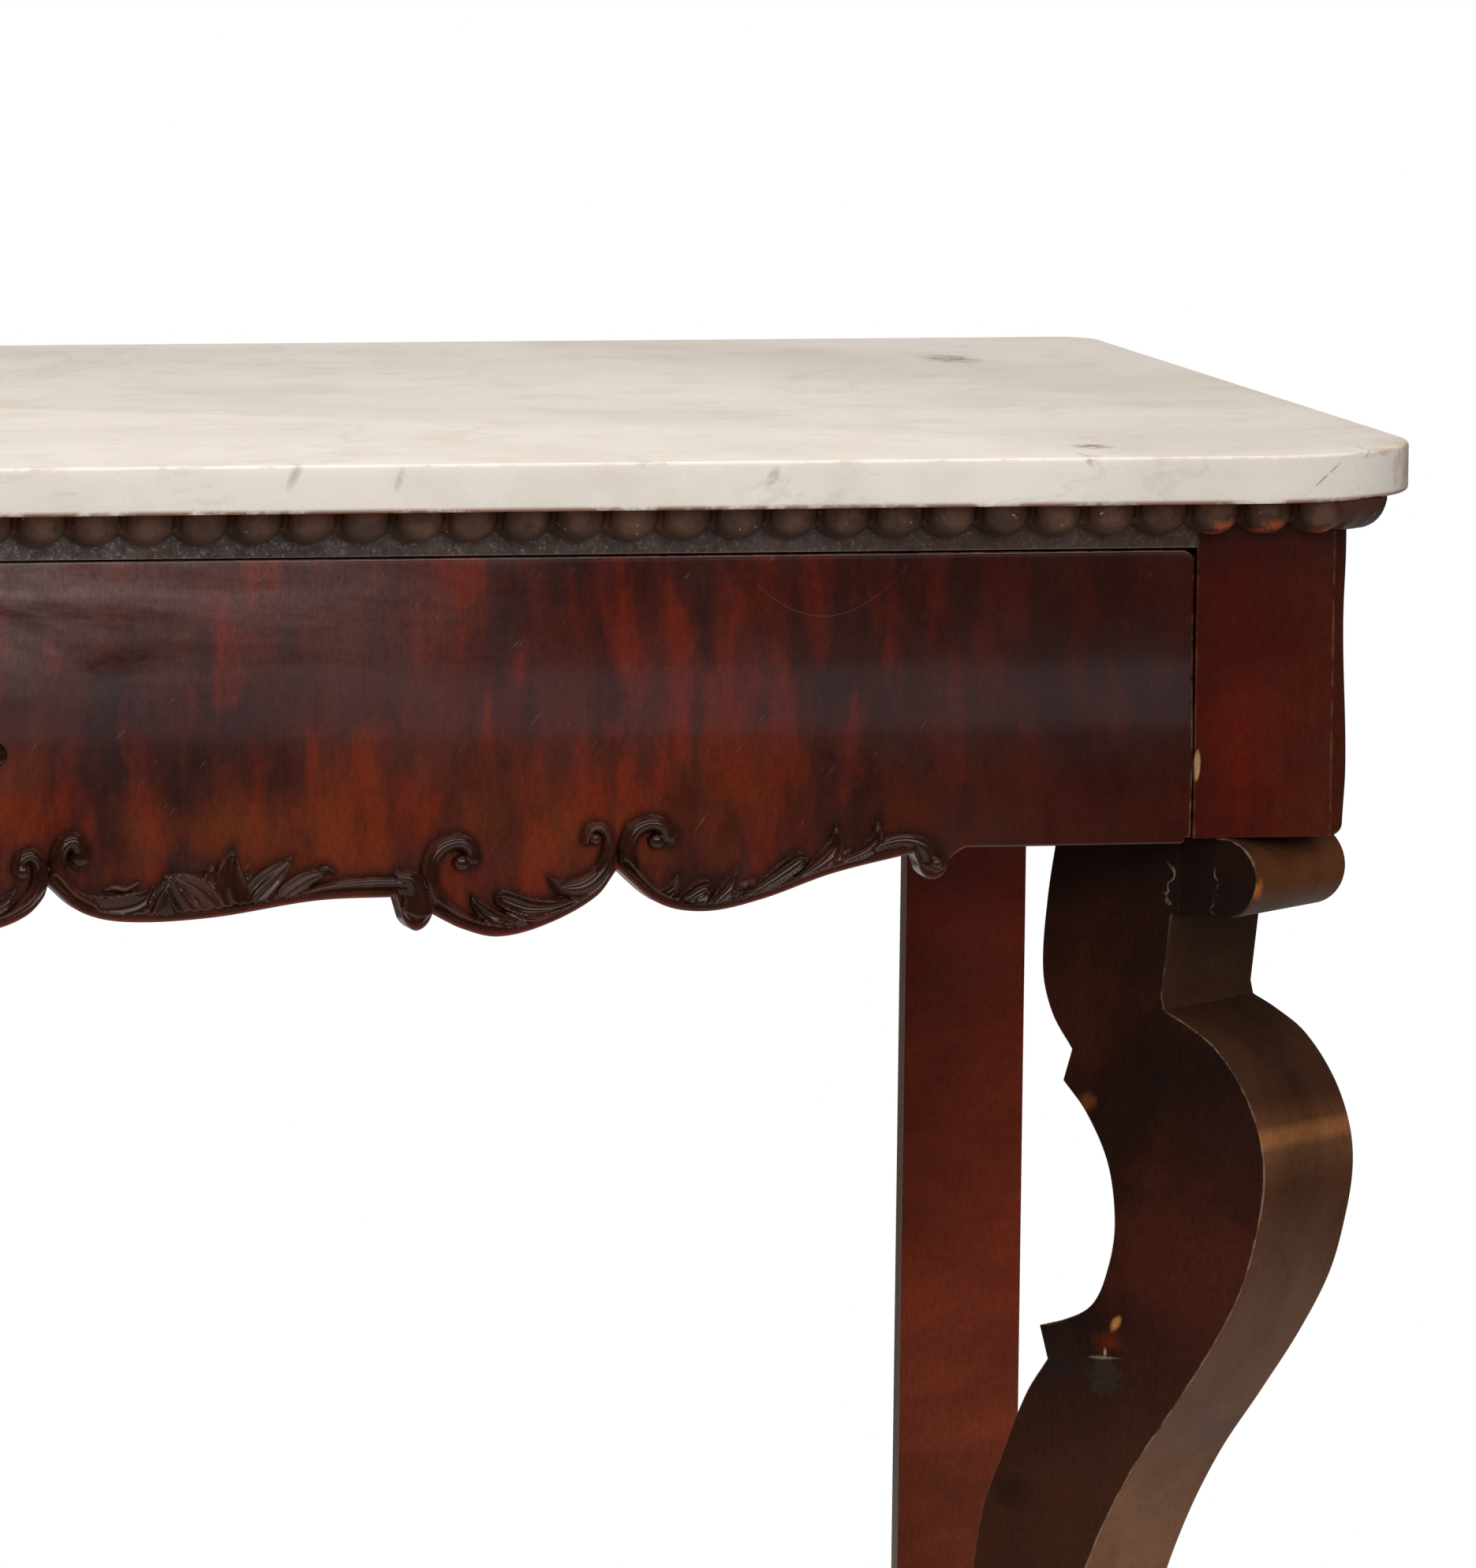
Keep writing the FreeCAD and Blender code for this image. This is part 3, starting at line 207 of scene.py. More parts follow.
def inset(loop, depth):
    """A loop moved inward by a depth, each point along the mitre of its two sides."""
    area = np.sum(loop[:, 0] * np.roll(loop[:, 1], -1) - loop[:, 1] * np.roll(loop[:, 0], -1))
    ahead = np.roll(loop, -1, axis=0) - loop
    ahead /= np.linalg.norm(ahead, axis=1)[:, None]
    inward = np.column_stack([-ahead[:, 1], ahead[:, 0]]) * np.sign(area)
    mitre = inward + np.roll(inward, 1, axis=0)
    scale = np.clip(2 / np.sum(mitre * mitre, axis=1), 0.5, 1.6)
    return loop + mitre * scale[:, None] * depth


def plank(name, loop, low, high, ease, finish, place=None, calm=4, rub=1.0):
    """An outline between two levels with both rims eased in a quarter round.

    Each ring is (depth of inset, level above the lower face, wear).  calm is the width of the
    flat band beside a rim.  place turns the points (first axis, second axis, level) into
    (x, y, z).  rub scales the wear at each point of the outline.
    """
    bend = np.radians(np.linspace(0, 90, 5))
    rim = [(ease * (1 - math.sin(a)), ease * (1 - math.cos(a)), math.sin(2 * a)) for a in bend]
    rim += [(0, ease + calm, 0)]
    thick = high - low
    rows = rim + [(deep, thick - level, worn) for deep, level, worn in rim[::-1]]
    rings, wear = [], []
    for deep, level, worn in rows:
        ring = inset(loop, deep)
        rings.append(np.column_stack([ring, np.full(len(ring), low + level)]))
        wear.append(worn * rub * np.ones(len(ring)))
    rings = np.array(rings)
    if place is not None:
        rings = place(rings)
    return loft(name, rings, finish, "table", wear=np.array(wear))


def rectangle(x, y):
    """The corners between two places on each axis, round from the near left one."""
    return [(x[0], y[0]), (x[1], y[0]), (x[1], y[1]), (x[0], y[1])]


def board(name, x, y, z, ease, finish):
    """A board between two places on each axis, with every edge eased."""
    loop = rounded(rectangle(x, y), max(ease, 0.3), 4)
    return plank(name, loop, z[0], z[1], ease, finish)


# %% [markdown]
# ## Finishes
# Mahogany is a red-brown wood with fine dark pores.  Its flame veneer shows broad feathered
# streaks, and two centuries of wax and handling leave a patina: dark in the hollows, rubbed
# pale on the arrises.  Every finish below mixes those layers from noise in object space.

# %% Node helpers
def linear(code):
    """A hex colour as linear RGBA: c / 12.92 below 0.04045, else ((c + 0.055) / 1.055) ** 2.4."""
    values = [int(code[n : n + 2], 16) / 255 for n in (0, 2, 4)]
    return [v / 12.92 if v <= 0.04045 else ((v + 0.055) / 1.055) ** 2.4 for v in values] + [1.0]


def add_node(tree, kind, inputs, output=0, **settings):
    """A new node with its inputs set or linked; the result is one of its outputs."""
    made = tree.nodes.new(kind)
    for key, value in settings.items():
        setattr(made, key, value)
    for socket, value in inputs.items():
        if isinstance(value, bpy.types.NodeSocket):
            tree.links.new(value, made.inputs[socket])
        else:
            made.inputs[socket].default_value = value
    return made.outputs[output]


class Recipe:
    """A material under construction: every method adds a node and gives back its output."""

    def __init__(self, name):
        self.material = bpy.data.materials.new(name)
        self.material.use_nodes = True
        self.tree = self.material.node_tree
        self.shader = self.tree.nodes["Principled BSDF"]
        self.where = self.tree.nodes.new("ShaderNodeTexCoord").outputs["Object"]
        self.facing = self.tree.nodes.new("ShaderNodeNewGeometry").outputs["Normal"]
        finishes[name] = self.material

    def add(self, kind, inputs, output=0, **settings):
        return add_node(self.tree, kind, inputs, output, **settings)

    def maths(self, how, *values):
        """Math on one, two or three values."""
        return self.add("ShaderNodeMath", dict(enumerate(values)), operation=how)

    def axis(self, name):
        return self.add("ShaderNodeSeparateXYZ", {0: self.where}, name)

    def stretch(self, scale, turn):
        """The place turned about the axes and then scaled along them."""
        turned = self.add("ShaderNodeMapping", {"Vector": self.where, "Rotation": turn})
        return self.add("ShaderNodeMapping", {"Vector": turned, "Scale": scale})

    def noise(self, scale, detail=4.0, rough=0.55, distortion=0.0, turn=(0, 0, 0)):
        """Noise from 0 to 1; three scales stretch it into streaks along the axis of the smallest."""
        streaks = isinstance(scale, tuple)
        where = self.stretch(scale, turn) if streaks else self.where
        inputs = {"Vector": where, "Scale": 1.0 if streaks else scale, "Detail": detail}
        return self.add("ShaderNodeTexNoise", inputs | {"Roughness": rough, "Distortion": distortion})

    def ramp(self, value, *stops):
        made = self.tree.nodes.new("ShaderNodeValToRGB")
        self.tree.links.new(value, made.inputs[0])
        elements = made.color_ramp.elements
        while len(elements) < len(stops):
            elements.new(0.5)
        for element, (place, tone) in zip(elements, stops):
            element.position = place
            element.color = linear(tone) if isinstance(tone, str) else (tone, tone, tone, 1)
        return made.outputs[0]

    def mix(self, share, first, second, how="MIX"):
        first = linear(first) if isinstance(first, str) else first
        second = linear(second) if isinstance(second, str) else second
        inputs = {0: share, 6: first, 7: second}
        return self.add("ShaderNodeMix", inputs, 2, data_type="RGBA", blend_type=how)

    def between(self, value, low, high, to_low=0.0, to_high=1.0):
        """Value mapped so that low gives to_low and high gives to_high, and held outside."""
        inputs = {0: value, 1: low, 2: high, 3: to_low, 4: to_high}
        return self.add("ShaderNodeMapRange", inputs)

    def times(self, *values):
        """The product of all values."""
        product = values[0]
        for value in values[1:]:
            product = self.maths("MULTIPLY", product, value)
        return product

    def coats(self, base, *coats):
        """Tones laid over the base in turn, each where the product of its shares is one."""
        for tone, *shares in coats:
            base = self.mix(self.times(*shares), base, tone)
        return base

    def shaded(self, share, base, stops, *noise, **more):
        """The base darkened and lightened by the greys that a noise picks from the stops."""
        return self.mix(share, base, self.ramp(self.noise(*noise, **more), *stops), "MULTIPLY")

    def patches(self, low, high, *noise, **more):
        """One where a noise has reached high, nothing where it has reached low."""
        return self.between(self.noise(*noise, **more), low, high)

    def sized(self, value):
        return self.maths("ABSOLUTE", value)

    def reach(self, place, size, turn, ragged):
        """Distance from place in units of the half sizes; turn is about Y, ragged adds noise."""
        inputs = {"Vector": self.where, "Location": place, "Rotation": (0, turn, 0), "Scale": size}
        local = self.add("ShaderNodeMapping", inputs, vector_type="TEXTURE")
        far = self.add("ShaderNodeVectorMath", {0: local}, "Value", operation="LENGTH")
        if not ragged:
            return far
        uneven = self.between(self.noise(150.0, 3.0, 0.6), 0.25, 0.75, -ragged, ragged)
        return self.maths("ADD", far, uneven)

    def spot(self, place, size, turn, soft, ragged=0.0):
        """One inside an ellipsoid about place, fading to nothing at its skin."""
        return self.between(self.reach(place, size, turn, ragged), 1.0, soft)

    def cracks(self, scale, wide):
        """Thin wandering lines: the level set of a noise."""
        level = self.between(self.noise(scale, 3.0, 0.65), 0.0, 1.0, -0.5, 0.5)
        return self.between(self.sized(level), wide, wide * 0.35)

    def attribute(self, name):
        return self.add("ShaderNodeAttribute", {}, "Fac", attribute_name=name)

    def scratch(self, middle, low, bend, wide):
        """A shallow arc in the X Z plane: |z - low - bend (x - middle)^2| is under wide."""
        away = self.maths("SUBTRACT", self.axis("X"), middle)
        rise = self.times(away, away, bend)
        gap = self.maths("SUBTRACT", self.maths("SUBTRACT", self.axis("Z"), rise), low)
        ends = self.between(self.sized(away), 0.038, 0.024)
        return self.times(self.between(self.sized(gap), wide, wide * 0.3), ends)

    def bump(self, height, depth, strength):
        return self.add("ShaderNodeBump", {"Height": height, "Distance": depth * MM, "Strength": strength})

    def shade(self, **inputs):
        for socket, value in inputs.items():
            socket = socket.replace("_", " ")
            if isinstance(value, bpy.types.NodeSocket):
                self.tree.links.new(value, self.shader.inputs[socket])
            else:
                self.shader.inputs[socket].default_value = value


# %% [markdown]
# ### Mahogany
# One recipe serves every mahogany surface.  The grain direction is the axis that the mapping
# stretches.  The streak layer is a slow noise across the grain, the figure is a broader noise
# that bends it, and the pores are a fine one.  Worn arrises and a dusty film lie on top.

# %% Mahogany
def mahogany(name, tones, grain, broad=(10.0, 10.0, 4.0), depth=0.5, rough=(0.24, 0.40), gloss=0.3,
             coat=0.0, worn="7A5A40", wear=0.7, steady=1.9, dust=0.12, film="5E5048", layers=None):
    """Streaks along the grain in three tones, broad dark flames, pores, dust and worn arrises.

    grain and broad are the noise scales of streaks and flames, depth is the flames' strength,
    steady is how little the wear breaks up, and layers adds what one piece has of its own.
    """
    r = Recipe(name)
    base = r.ramp(r.noise(grain, 6.0, 0.6, 0.5), *zip((0.32, 0.50, 0.68), tones))
    base = r.shaded(depth, base, ((0.36, 0.22), (0.60, 1.0)), broad, 4.0, 0.6, 1.0)
    if layers is not None:
        base = layers(r, base)
    pore = r.ramp(r.noise((700.0, 700.0, 260.0), 3.0, 0.6), (0.36, 0.45), (0.60, 1.25))
    base = r.mix(0.3, base, pore, "MULTIPLY")
    rubbed = r.attribute("wear")
    patchy = r.between(r.noise(90.0, 5.0, 0.7), 0.30, 0.70, -1.6, 0.5)
    share = {0: rubbed, 1: steady, 2: patchy}
    share = r.add("ShaderNodeMath", share, operation="MULTIPLY_ADD", use_clamp=True)
    base = r.coats(
        base,
        (film, r.patches(0.48, 0.74, 16.0, 7.0, 0.68, 0.6), dust),
        (worn, share, r.between(rubbed, 0.05, 0.5), wear),
    )
    r.shade(
        Base_Color=base,
        Roughness=r.between(r.noise(18.0, 6.0, 0.65, 0.5), 0.3, 0.7, *rough),
        Specular_IOR_Level=gloss,
        Coat_Weight=coat,
        Coat_Roughness=0.08,
        Normal=r.bump(pore, 0.03, 0.5),
    )


# %% [markdown]
# ### What each piece has of its own
# The drawer wears a flame veneer: blocks of red figure on a dark ground, with orange wood near
# the apron and a pale haze on the left, partly bloom and partly a painted reflection.  The legs
# are redder at their sides than in front, and their fronts carry painted light.  The pilasters
# are redder low down, painted shade lies at the top of them and of the frieze, and dust lies on
# the mouldings.  Places on a piece are in metres, so a stain or a patch of bare wood stays where
# it is on the wood.

# %% Layers of drawer and frieze
def drawer_layers(r, base):
    """The blocks are a noise taller than it is wide, cut at a steep threshold."""
    x, z = r.axis("X"), r.axis("Z")
    ground = r.noise((10.0, 10.0, 6.0), 5.0, 0.6, 0.4)
    ground = r.ramp(ground, (0.36, "30150F"), (0.50, "421B12"), (0.64, "501F13"))
    dark = r.patches(0.50, 0.36, (46.0, 46.0, 15.0), 4.0, 0.55, 0.2, turn=(0, 0.04, 0))
    left = r.times(r.between(x, 0.30, -0.10), r.between(x, -0.45, -0.15), r.between(z, 0.782, 0.840))
    nicks = r.patches(0.70, 0.74, (70.0, 70.0, 420.0), 2.0, 0.5, turn=(0, 0.9, 0))
    return r.coats(
        r.mix(0.72, base, ground),
        ("70200D", r.patches(0.46, 0.62, (58.0, 58.0, 17.0), 4.5, 0.58, 0.25), 0.68),
        ("221213", dark, 0.60),
        ("74300F", r.between(z, 0.785, 0.735), r.patches(0.40, 0.60, (24.0, 24.0, 14.0)), 0.52),
        # A pale haze on the upper left: partly bloom in the wax, partly a painted reflection.
        ("8E7674", left, r.patches(0.34, 0.60, (7.0, 7.0, 34.0), 6.0, 0.66, 0.5), 0.85),
        ("7A6458", nicks, r.patches(0.46, 0.62, 11.0, 2.0), 0.4),
        ("260A05", r.between(x, 0.32, 0.52), 0.80),
        ("9A6A50", r.scratch(0.412, 0.826, 15.0, 0.0003), 0.20),
        # The wood beside each stroke is painted darker.
        ("1A0D0A", r.attribute("halo"), 0.72),
        ("5E2412", r.attribute("rim"), 0.5),
    )


def block_layers(r, base):
    """The frieze is dark at each block's edge by the drawer, red in its middle and brown at its corner."""
    across = r.between(r.sized(r.axis("X")), 0.585, 0.665)
    tone = r.ramp(across, (0.0, "340D06"), (0.30, "4E1207"), (0.62, "46160A"), (0.9, "3C1A0D"))
    tone = r.shaded(1.0, tone, ((0.36, 0.75), (0.64, 1.2)), 22.0, 4.0, 0.6, 0.3)
    return r.coats(
        r.mix(0.72, base, tone),
        # Painted shade: the frieze darkens at its top, under the moulding.
        ("24120D", r.between(r.axis("Z"), 0.838, 0.868), 0.8),
        ("9C7858", r.spot((0.5882, -0.288, 0.7555), (0.0019, 0.004, 0.0080), 0.05, 0.7)),
    )


def egg_layers(r, base):
    """Three eggs near each corner have lost their polish and show bare orange wood."""
    x, z = r.sized(r.axis("X")), r.axis("Z")
    bare = 0.0
    for centre, strong in ((0.5945, 1.0), (0.6168, 1.0), (0.6435, 0.55)):
        gap = r.sized(r.maths("SUBTRACT", x, centre))
        bare = r.maths("ADD", bare, r.times(r.between(gap, 0.0078, 0.004), strong))
    low = r.times(r.between(z, 0.8705, 0.8665), r.patches(0.40, 0.52, 120.0, 3.0))
    return r.coats(
        base,
        ("36180E", r.between(x, 0.52, 0.60), 0.6),
        ("963E16", r.times(bare, low), 0.8),
        ("4E240E", r.between(z, 0.8715, 0.8775), 0.5),
        ("B0A294", r.patches(0.76, 0.80, 420.0, 1.0, 0.5)),
    )


def rail_layers(r, base):
    """Grey dust with bright grains lies on the rail and thins out towards the right."""
    return r.coats(
        base,
        ("9A928C", r.patches(0.56, 0.68, 620.0, 2.0, 0.6), 0.6),
        ("221A18", r.patches(0.50, 0.40, 160.0, 3.0, 0.6), 0.6),
        ("5A2A20", r.patches(0.56, 0.66, 26.0, 4.0, 0.6), 0.5),
        ("3A1E14", r.between(r.axis("X"), -0.10, 0.50), 0.75),
    )


# %% [markdown]
# The sides of a leg are told from its front by their normals: on its diagonal plank the product
# of the two level components has one sign on the front and the other on the sides.

# %% Layers of legs and pilasters
# Tones of a leg's front by level in metres, with painted light in them: the paler front low down is a
# painted reflection of the floor, the bright line at 0.584 is a painted highlight across the belly, and
# the dark top of the nose is painted shade under the case.
LEG_FRONT_TONE_AND_LIGHT = (
    (0.12, "4A2E1E"), (0.27, "5C3C28"), (0.37, "765036"), (0.48, "5C3A25"), (0.56, "4C2D1C"),
    (0.580, "624028"), (0.584, "9A6236"), (0.588, "5C3822"), (0.60, "3C2417"), (0.68, "3A2518"),
    (0.70, "5A331A"), (0.713, "5A341E"), (0.721, "34241C"),
)
LEG_MARKS = (
    # colour, share, place, half sizes, turn, softness, raggedness
    ("211C1A", 0.75, (0.5392, -0.2266, 0.4740), (0.0200, 0.030, 0.0110), 0.2, 0.1, 0.3),  # grime
    ("1C1512", 0.60, (0.5251, -0.2125, 0.4118), (0.0120, 0.020, 0.0100), 0.0, 0.1, 0.3),
    ("66200F", 0.70, (0.5612, -0.2487, 0.4850), (0.0080, 0.010, 0.0060), 0.0, 0.1, 0.3),  # stain
    ("302A22", 0.70, (0.5600, -0.2474, 0.4690), (0.0090, 0.014, 0.0100), 0.0, 0.7, 0.5),  # filler
    ("B87A44", 0.85, (0.5640, -0.2514, 0.4942), (0.0022, 0.005, 0.0050), 0.35, 0.4, 0.2),  # chips
    ("B09070", 0.85, (0.5601, -0.2475, 0.4805), (0.0008, 0.003, 0.0026), 0.0, 0.4, 0.2),
    ("74401E", 0.60, (0.5517, -0.2391, 0.5950), (0.0045, 0.010, 0.0070), 0.5, 0.3, 0.3),
)
# Tones of a pilaster by level in metres; the darkest, at the top, is painted shade under the case.
PILASTER_TONE_AND_SHADE = (
    (0.12, "4A1E10"), (0.28, "6A2E1A"), (0.36, "7C361D"), (0.45, "742C15"), (0.62, "54190C"),
    (0.72, "2E0F08"),
)


def leg_layers(r, base):
    """Red-brown sides with dark clouds, lighter low down and darker towards the top, a brown front with
    painted light, and the marks of long use.
    """
    z = r.axis("Z")
    level = [r.add("ShaderNodeSeparateXYZ", {0: r.facing}, n) for n in (0, 1)]
    on_side = r.between(r.times(*level, r.maths("SIGN", r.axis("X"))), 0.10, 0.25)
    front = r.shaded(1.0, r.ramp(z, *LEG_FRONT_TONE_AND_LIGHT), ((0.36, 0.72), (0.64, 1.2)), 12.0, 6.0, 0.62, 0.6)
    bare = r.spot((0.6165, -0.3030, 0.6985), (0.0058, 0.010, 0.0075), 0.0, 0.5, 0.3)
    front = r.coats(front, ("A8602A", bare, 0.85))
    cloud = r.noise(8.0, 5.0, 0.6, 0.5)
    sides = r.ramp(cloud, (0.38, "201410"), (0.50, "32180F"), (0.62, "4A2115"))
    chipped = r.spot((0.5890, -0.2765, 0.6990), (0.012, 0.03, 0.016), 0.0, 0.6, 0.3)
    sides = r.coats(
        r.mix(0.30, sides, base),
        ("4A2A1C", r.between(z, 0.50, 0.42), 0.55),
        ("170C09", r.between(z, 0.55, 0.72), 0.55),
        *((tone, r.spot(*where), share) for tone, share, *where in LEG_MARKS),
        ("8E8070", r.cracks(26.0, 0.010), chipped, 0.65),
        ("8A7A66", r.spot((0.5600, -0.2474, 0.4778), (0.0085, 0.020, 0.0009), -0.05, 0.4, 0.4), 0.55),
    )
    return r.mix(on_side, front, sides)


def pilaster_layers(r, base):
    """Painted shade darkens it just under the case, and it is redder below; its narrow sides are bare and
    dusty.
    """
    stops, slope = ((0.36, 0.74), (0.64, 1.22)), (0, 0.1, 0)
    tone = r.ramp(r.axis("Z"), *PILASTER_TONE_AND_SHADE)
    tone = r.shaded(1.0, tone, stops, (9.0, 9.0, 22.0), 5.0, 0.62, 0.5, turn=slope)
    edge = r.sized(r.add("ShaderNodeSeparateXYZ", {0: r.facing}, 0))
    return r.coats(r.mix(0.85, base, tone), ("8A7A6A", r.between(edge, 0.8, 0.95), 0.85))


# %% [markdown]
# ### The finishes
# Each call names a finish, its three tones from dark to light and the scale of its grain.  Show
# wood has the three tones close together under wax; the inner boards are pale, dry and unwaxed,
# and their grain runs along each board's length.

# %% Wood finishes
UP, ALONG, DEEP = (60.0, 60.0, 4.0), (4.0, 60.0, 60.0), (60.0, 4.0, 60.0)
EVEN, EVEN_BROAD = (26.0, 26.0, 26.0), (9.0, 9.0, 9.0)
mahogany("flame_mahogany", ("260C07", "44180F", "5A2212"), (120.0, 120.0, 9.0),
         broad=(13.0, 13.0, 5.0), depth=0.4, rough=(0.18, 0.30), gloss=0.2, coat=0.5,
         worn="8A6A5A", wear=0.5, dust=0.06, layers=drawer_layers)
mahogany("frieze_mahogany", ("3C0E04", "481105", "541506"), UP, depth=0.2, rough=(0.20, 0.30),
         gloss=0.15, worn="6E4C34", wear=0.45, dust=0.0, layers=block_layers)
mahogany("moulding_mahogany", ("33221A", "422C20", "523828"), EVEN, broad=EVEN_BROAD, depth=0.2,
         rough=(0.42, 0.56), gloss=0.22, worn="6C4A38", wear=0.45, steady=1.3, dust=0.08,
         film="5A4C44", layers=egg_layers)
mahogany("dusty_rail", ("3E3734", "4C4440", "5A504B"), EVEN, broad=EVEN_BROAD, depth=0.3,
         rough=(0.45, 0.6), worn="8A7A6A", wear=0.4, dust=0.2, film="6A6460", layers=rail_layers)
mahogany("carved_mahogany", ("1C0C07", "2E150D", "421F12"), (30.0, 30.0, 30.0), depth=0.3,
         rough=(0.10, 0.20), gloss=0.28, worn="5E3A2A", wear=0.45, steady=1.2, dust=0.02)
mahogany("leg_mahogany", ("160A08", "22110D", "301812"), (50.0, 50.0, 6.0), depth=0.4,
         rough=(0.38, 0.52), gloss=0.04, worn="86705C", wear=0.6, steady=1.25, dust=0.02,
         layers=leg_layers)
mahogany("pilaster_mahogany", ("50180C", "5E1E0E", "6E2614"), (8.0, 8.0, 60.0),
         broad=(4.0, 4.0, 16.0), depth=0.1, rough=(0.26, 0.38), gloss=0.12, dust=0.02,
         layers=pilaster_layers)
mahogany("base_mahogany", ("2A100A", "46180E", "5E2616"), ALONG)
for name, grain in (("secondary_wood", ALONG), ("secondary_upright", UP), ("secondary_deep", DEEP)):
    mahogany(name, ("6E5238", "8C6C4A", "A88A62"), grain, rough=(0.6, 0.8), depth=0.2)
for name, grain in (("drawer_lining", ALONG), ("drawer_lining_deep", DEEP)):
    mahogany(name, ("7A5A3C", "9C7A54", "B8966C"), grain, rough=(0.5, 0.7), depth=0.2)
print("wood finishes:", ", ".join(finishes))

# %% [markdown]
# ### Marble
# White statuary marble, yellowed a little by wax.  Soft grey clouds drift through it, with a
# few darker veins where the noise crosses its middle value.  Old glue browns its lower edge,
# and cracks, grey veins and stains sit where they are on the slab.

# %% Marble
EDGE_MARKS = (
    # colour, share, place, half sizes, turn
    ("7E6650", 0.80, (0.640, -0.300, 0.890), (0.0165, 0.06, 0.0006), -0.66),  # cracks
    ("8A7058", 0.60, (0.662, -0.290, 0.898), (0.0080, 0.06, 0.0006), -0.60),
    ("9A9288", 0.55, (0.158, -0.320, 0.896), (0.0030, 0.03, 0.0095), 0.45),  # grey veins
    ("9A9288", 0.45, (0.206, -0.320, 0.893), (0.0022, 0.03, 0.0075), 0.30),
    ("8A8880", 0.55, (0.379, -0.320, 0.893), (0.0032, 0.03, 0.0060), 0.50),
    ("A09890", 0.40, (0.320, -0.320, 0.899), (0.0060, 0.04, 0.0030), 0.20),
    ("8A5A34", 0.70, (0.528, -0.310, 0.898), (0.0040, 0.03, 0.0030), 0.00),  # stains
    ("948270", 0.90, (0.543, -0.265, 0.900), (0.0110, 0.016, 0.004), 0.00),
    ("8E867E", 0.85, (0.598, 0.199, 0.900), (0.0170, 0.030, 0.004), 0.00),
    ("A87C50", 0.50, (0.672, -0.292, 0.899), (0.0100, 0.010, 0.0030), 0.00),
)
r = Recipe("marble")
cloud = r.noise((2.2, 3.6, 3.6), 6.0, 0.55, 0.7, turn=(0, 0, 0.5))
base = r.ramp(cloud, (0.35, "D6CDC4"), (0.50, "E3DAD0"), (0.66, "E9E0D7"))
veins = (0.485, 1.0), (0.5, 0.80), (0.515, 1.0)
base = r.shaded(0.5, base, veins, (3.0, 6.0, 6.0), 8.0, 0.6, 1.0, turn=(0, 0, -0.4))
base = r.shaded(1.0, base, ((0.35, 0.955), (0.65, 1.03)), 900.0, 2.0, 0.6)
glue = r.patches(0.34, 0.50, 45.0, 5.0, 0.7)
broken = r.patches(0.36, 0.52, 150.0, 2.0)
base = r.coats(
    base,
    ("D2C8B4", r.patches(0.48, 0.66, 24.0, 4.0, 0.6), 0.35),
    ("A39C93", r.patches(0.64, 0.72, (16.0, 70.0, 70.0), 4.0, 0.6, turn=(0, 0, 0.2)), 0.35),
    ("B8A48C", r.attribute("wear"), r.patches(0.52, 0.62, 60.0, 6.0, 0.7), 0.6),
    ("7A4418", r.between(r.axis("Z"), 0.8806, 0.8788), glue, 0.9),
    *((tone, r.spot(*where, 0.3), broken, share) for tone, share, *where in EDGE_MARKS),
    ("A0703E", r.spot((0.694, -0.264, 0.889), (0.0200, 0.036, 0.0200), 0.0, 0.15, 0.5), 0.50),
)
r.shade(Base_Color=base, Roughness=0.40, Specular_IOR_Level=0.36, Coat_Weight=0.05)
r.shade(Subsurface_Weight=0.08, Subsurface_Scale=0.004)
print("marble with", len(EDGE_MARKS), "marks")

# %% [markdown]
# ## Marble slab
# The slab was sawn from a flat sheet, with large round front corners and nearly square back
# ones, so an outline with a thickness is all it needs.  A rub along its rims leaves a soft
# arris that shows as a pale line.

# %% Marble slab
FRONT_RADIUS, BACK_RADIUS, ARRIS = 92, 20, 1.8
corners = rectangle((-MARBLE_HALF, MARBLE_HALF), (MARBLE_FRONT, -MARBLE_FRONT))
loop = rounded(corners, (FRONT_RADIUS, FRONT_RADIUS, BACK_RADIUS, BACK_RADIUS), 40)
marble = plank("marble_slab", loop, CASE_TOP, MARBLE_TOP, ARRIS, "marble", calm=5)
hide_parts("marble_top")

# %% [markdown]
# ## Frieze
# The frieze has one shallow ogee, a hollow over a swell, across the corner blocks, the sides
# and the drawer front, so one function of the level serves all three.  The corner blocks are
# rings in plan, one for each level.  A side board is its section, drawn from end to end.

# %% Frieze sides
SWELL, SWELL_LEVEL = 1.3, 753.2
HOLLOW, HOLLOW_LEVEL = 0.8, 821.8
LOW_ROUND, RAIL_DEEP = 5.0, 60.0


def eased(value, knots, levels):
    """Value between knots with level slopes at them: the cosine ease from one to the next."""
    n = np.clip(np.searchsorted(knots, value, side="right") - 1, 0, len(knots) - 2)
    knots, levels = np.asarray(knots, float), np.asarray(levels, float)
    t = np.clip((value - knots[n]) / (knots[n + 1] - knots[n]), 0, 1)
    return levels[n] + (levels[n + 1] - levels[n]) * (1 - np.cos(math.pi * t)) / 2


def frieze_proud(z):
    """How far the frieze stands out of its plane at a level."""
    knots = CASE_LOW, SWELL_LEVEL, HOLLOW_LEVEL, RAIL_LOW, CASE_TOP
    return eased(z, knots, (0, SWELL, -HOLLOW, 0, 0))


def bent(start, pull, end):
    """Nine points of a curve that leaves start towards pull and comes into end from there."""
    t = np.linspace(0, 1, 9)[:, None]
    start, pull, end = np.array([start, pull, end])
    return (1 - t) ** 2 * start + 2 * t * (1 - t) * pull + t**2 * end


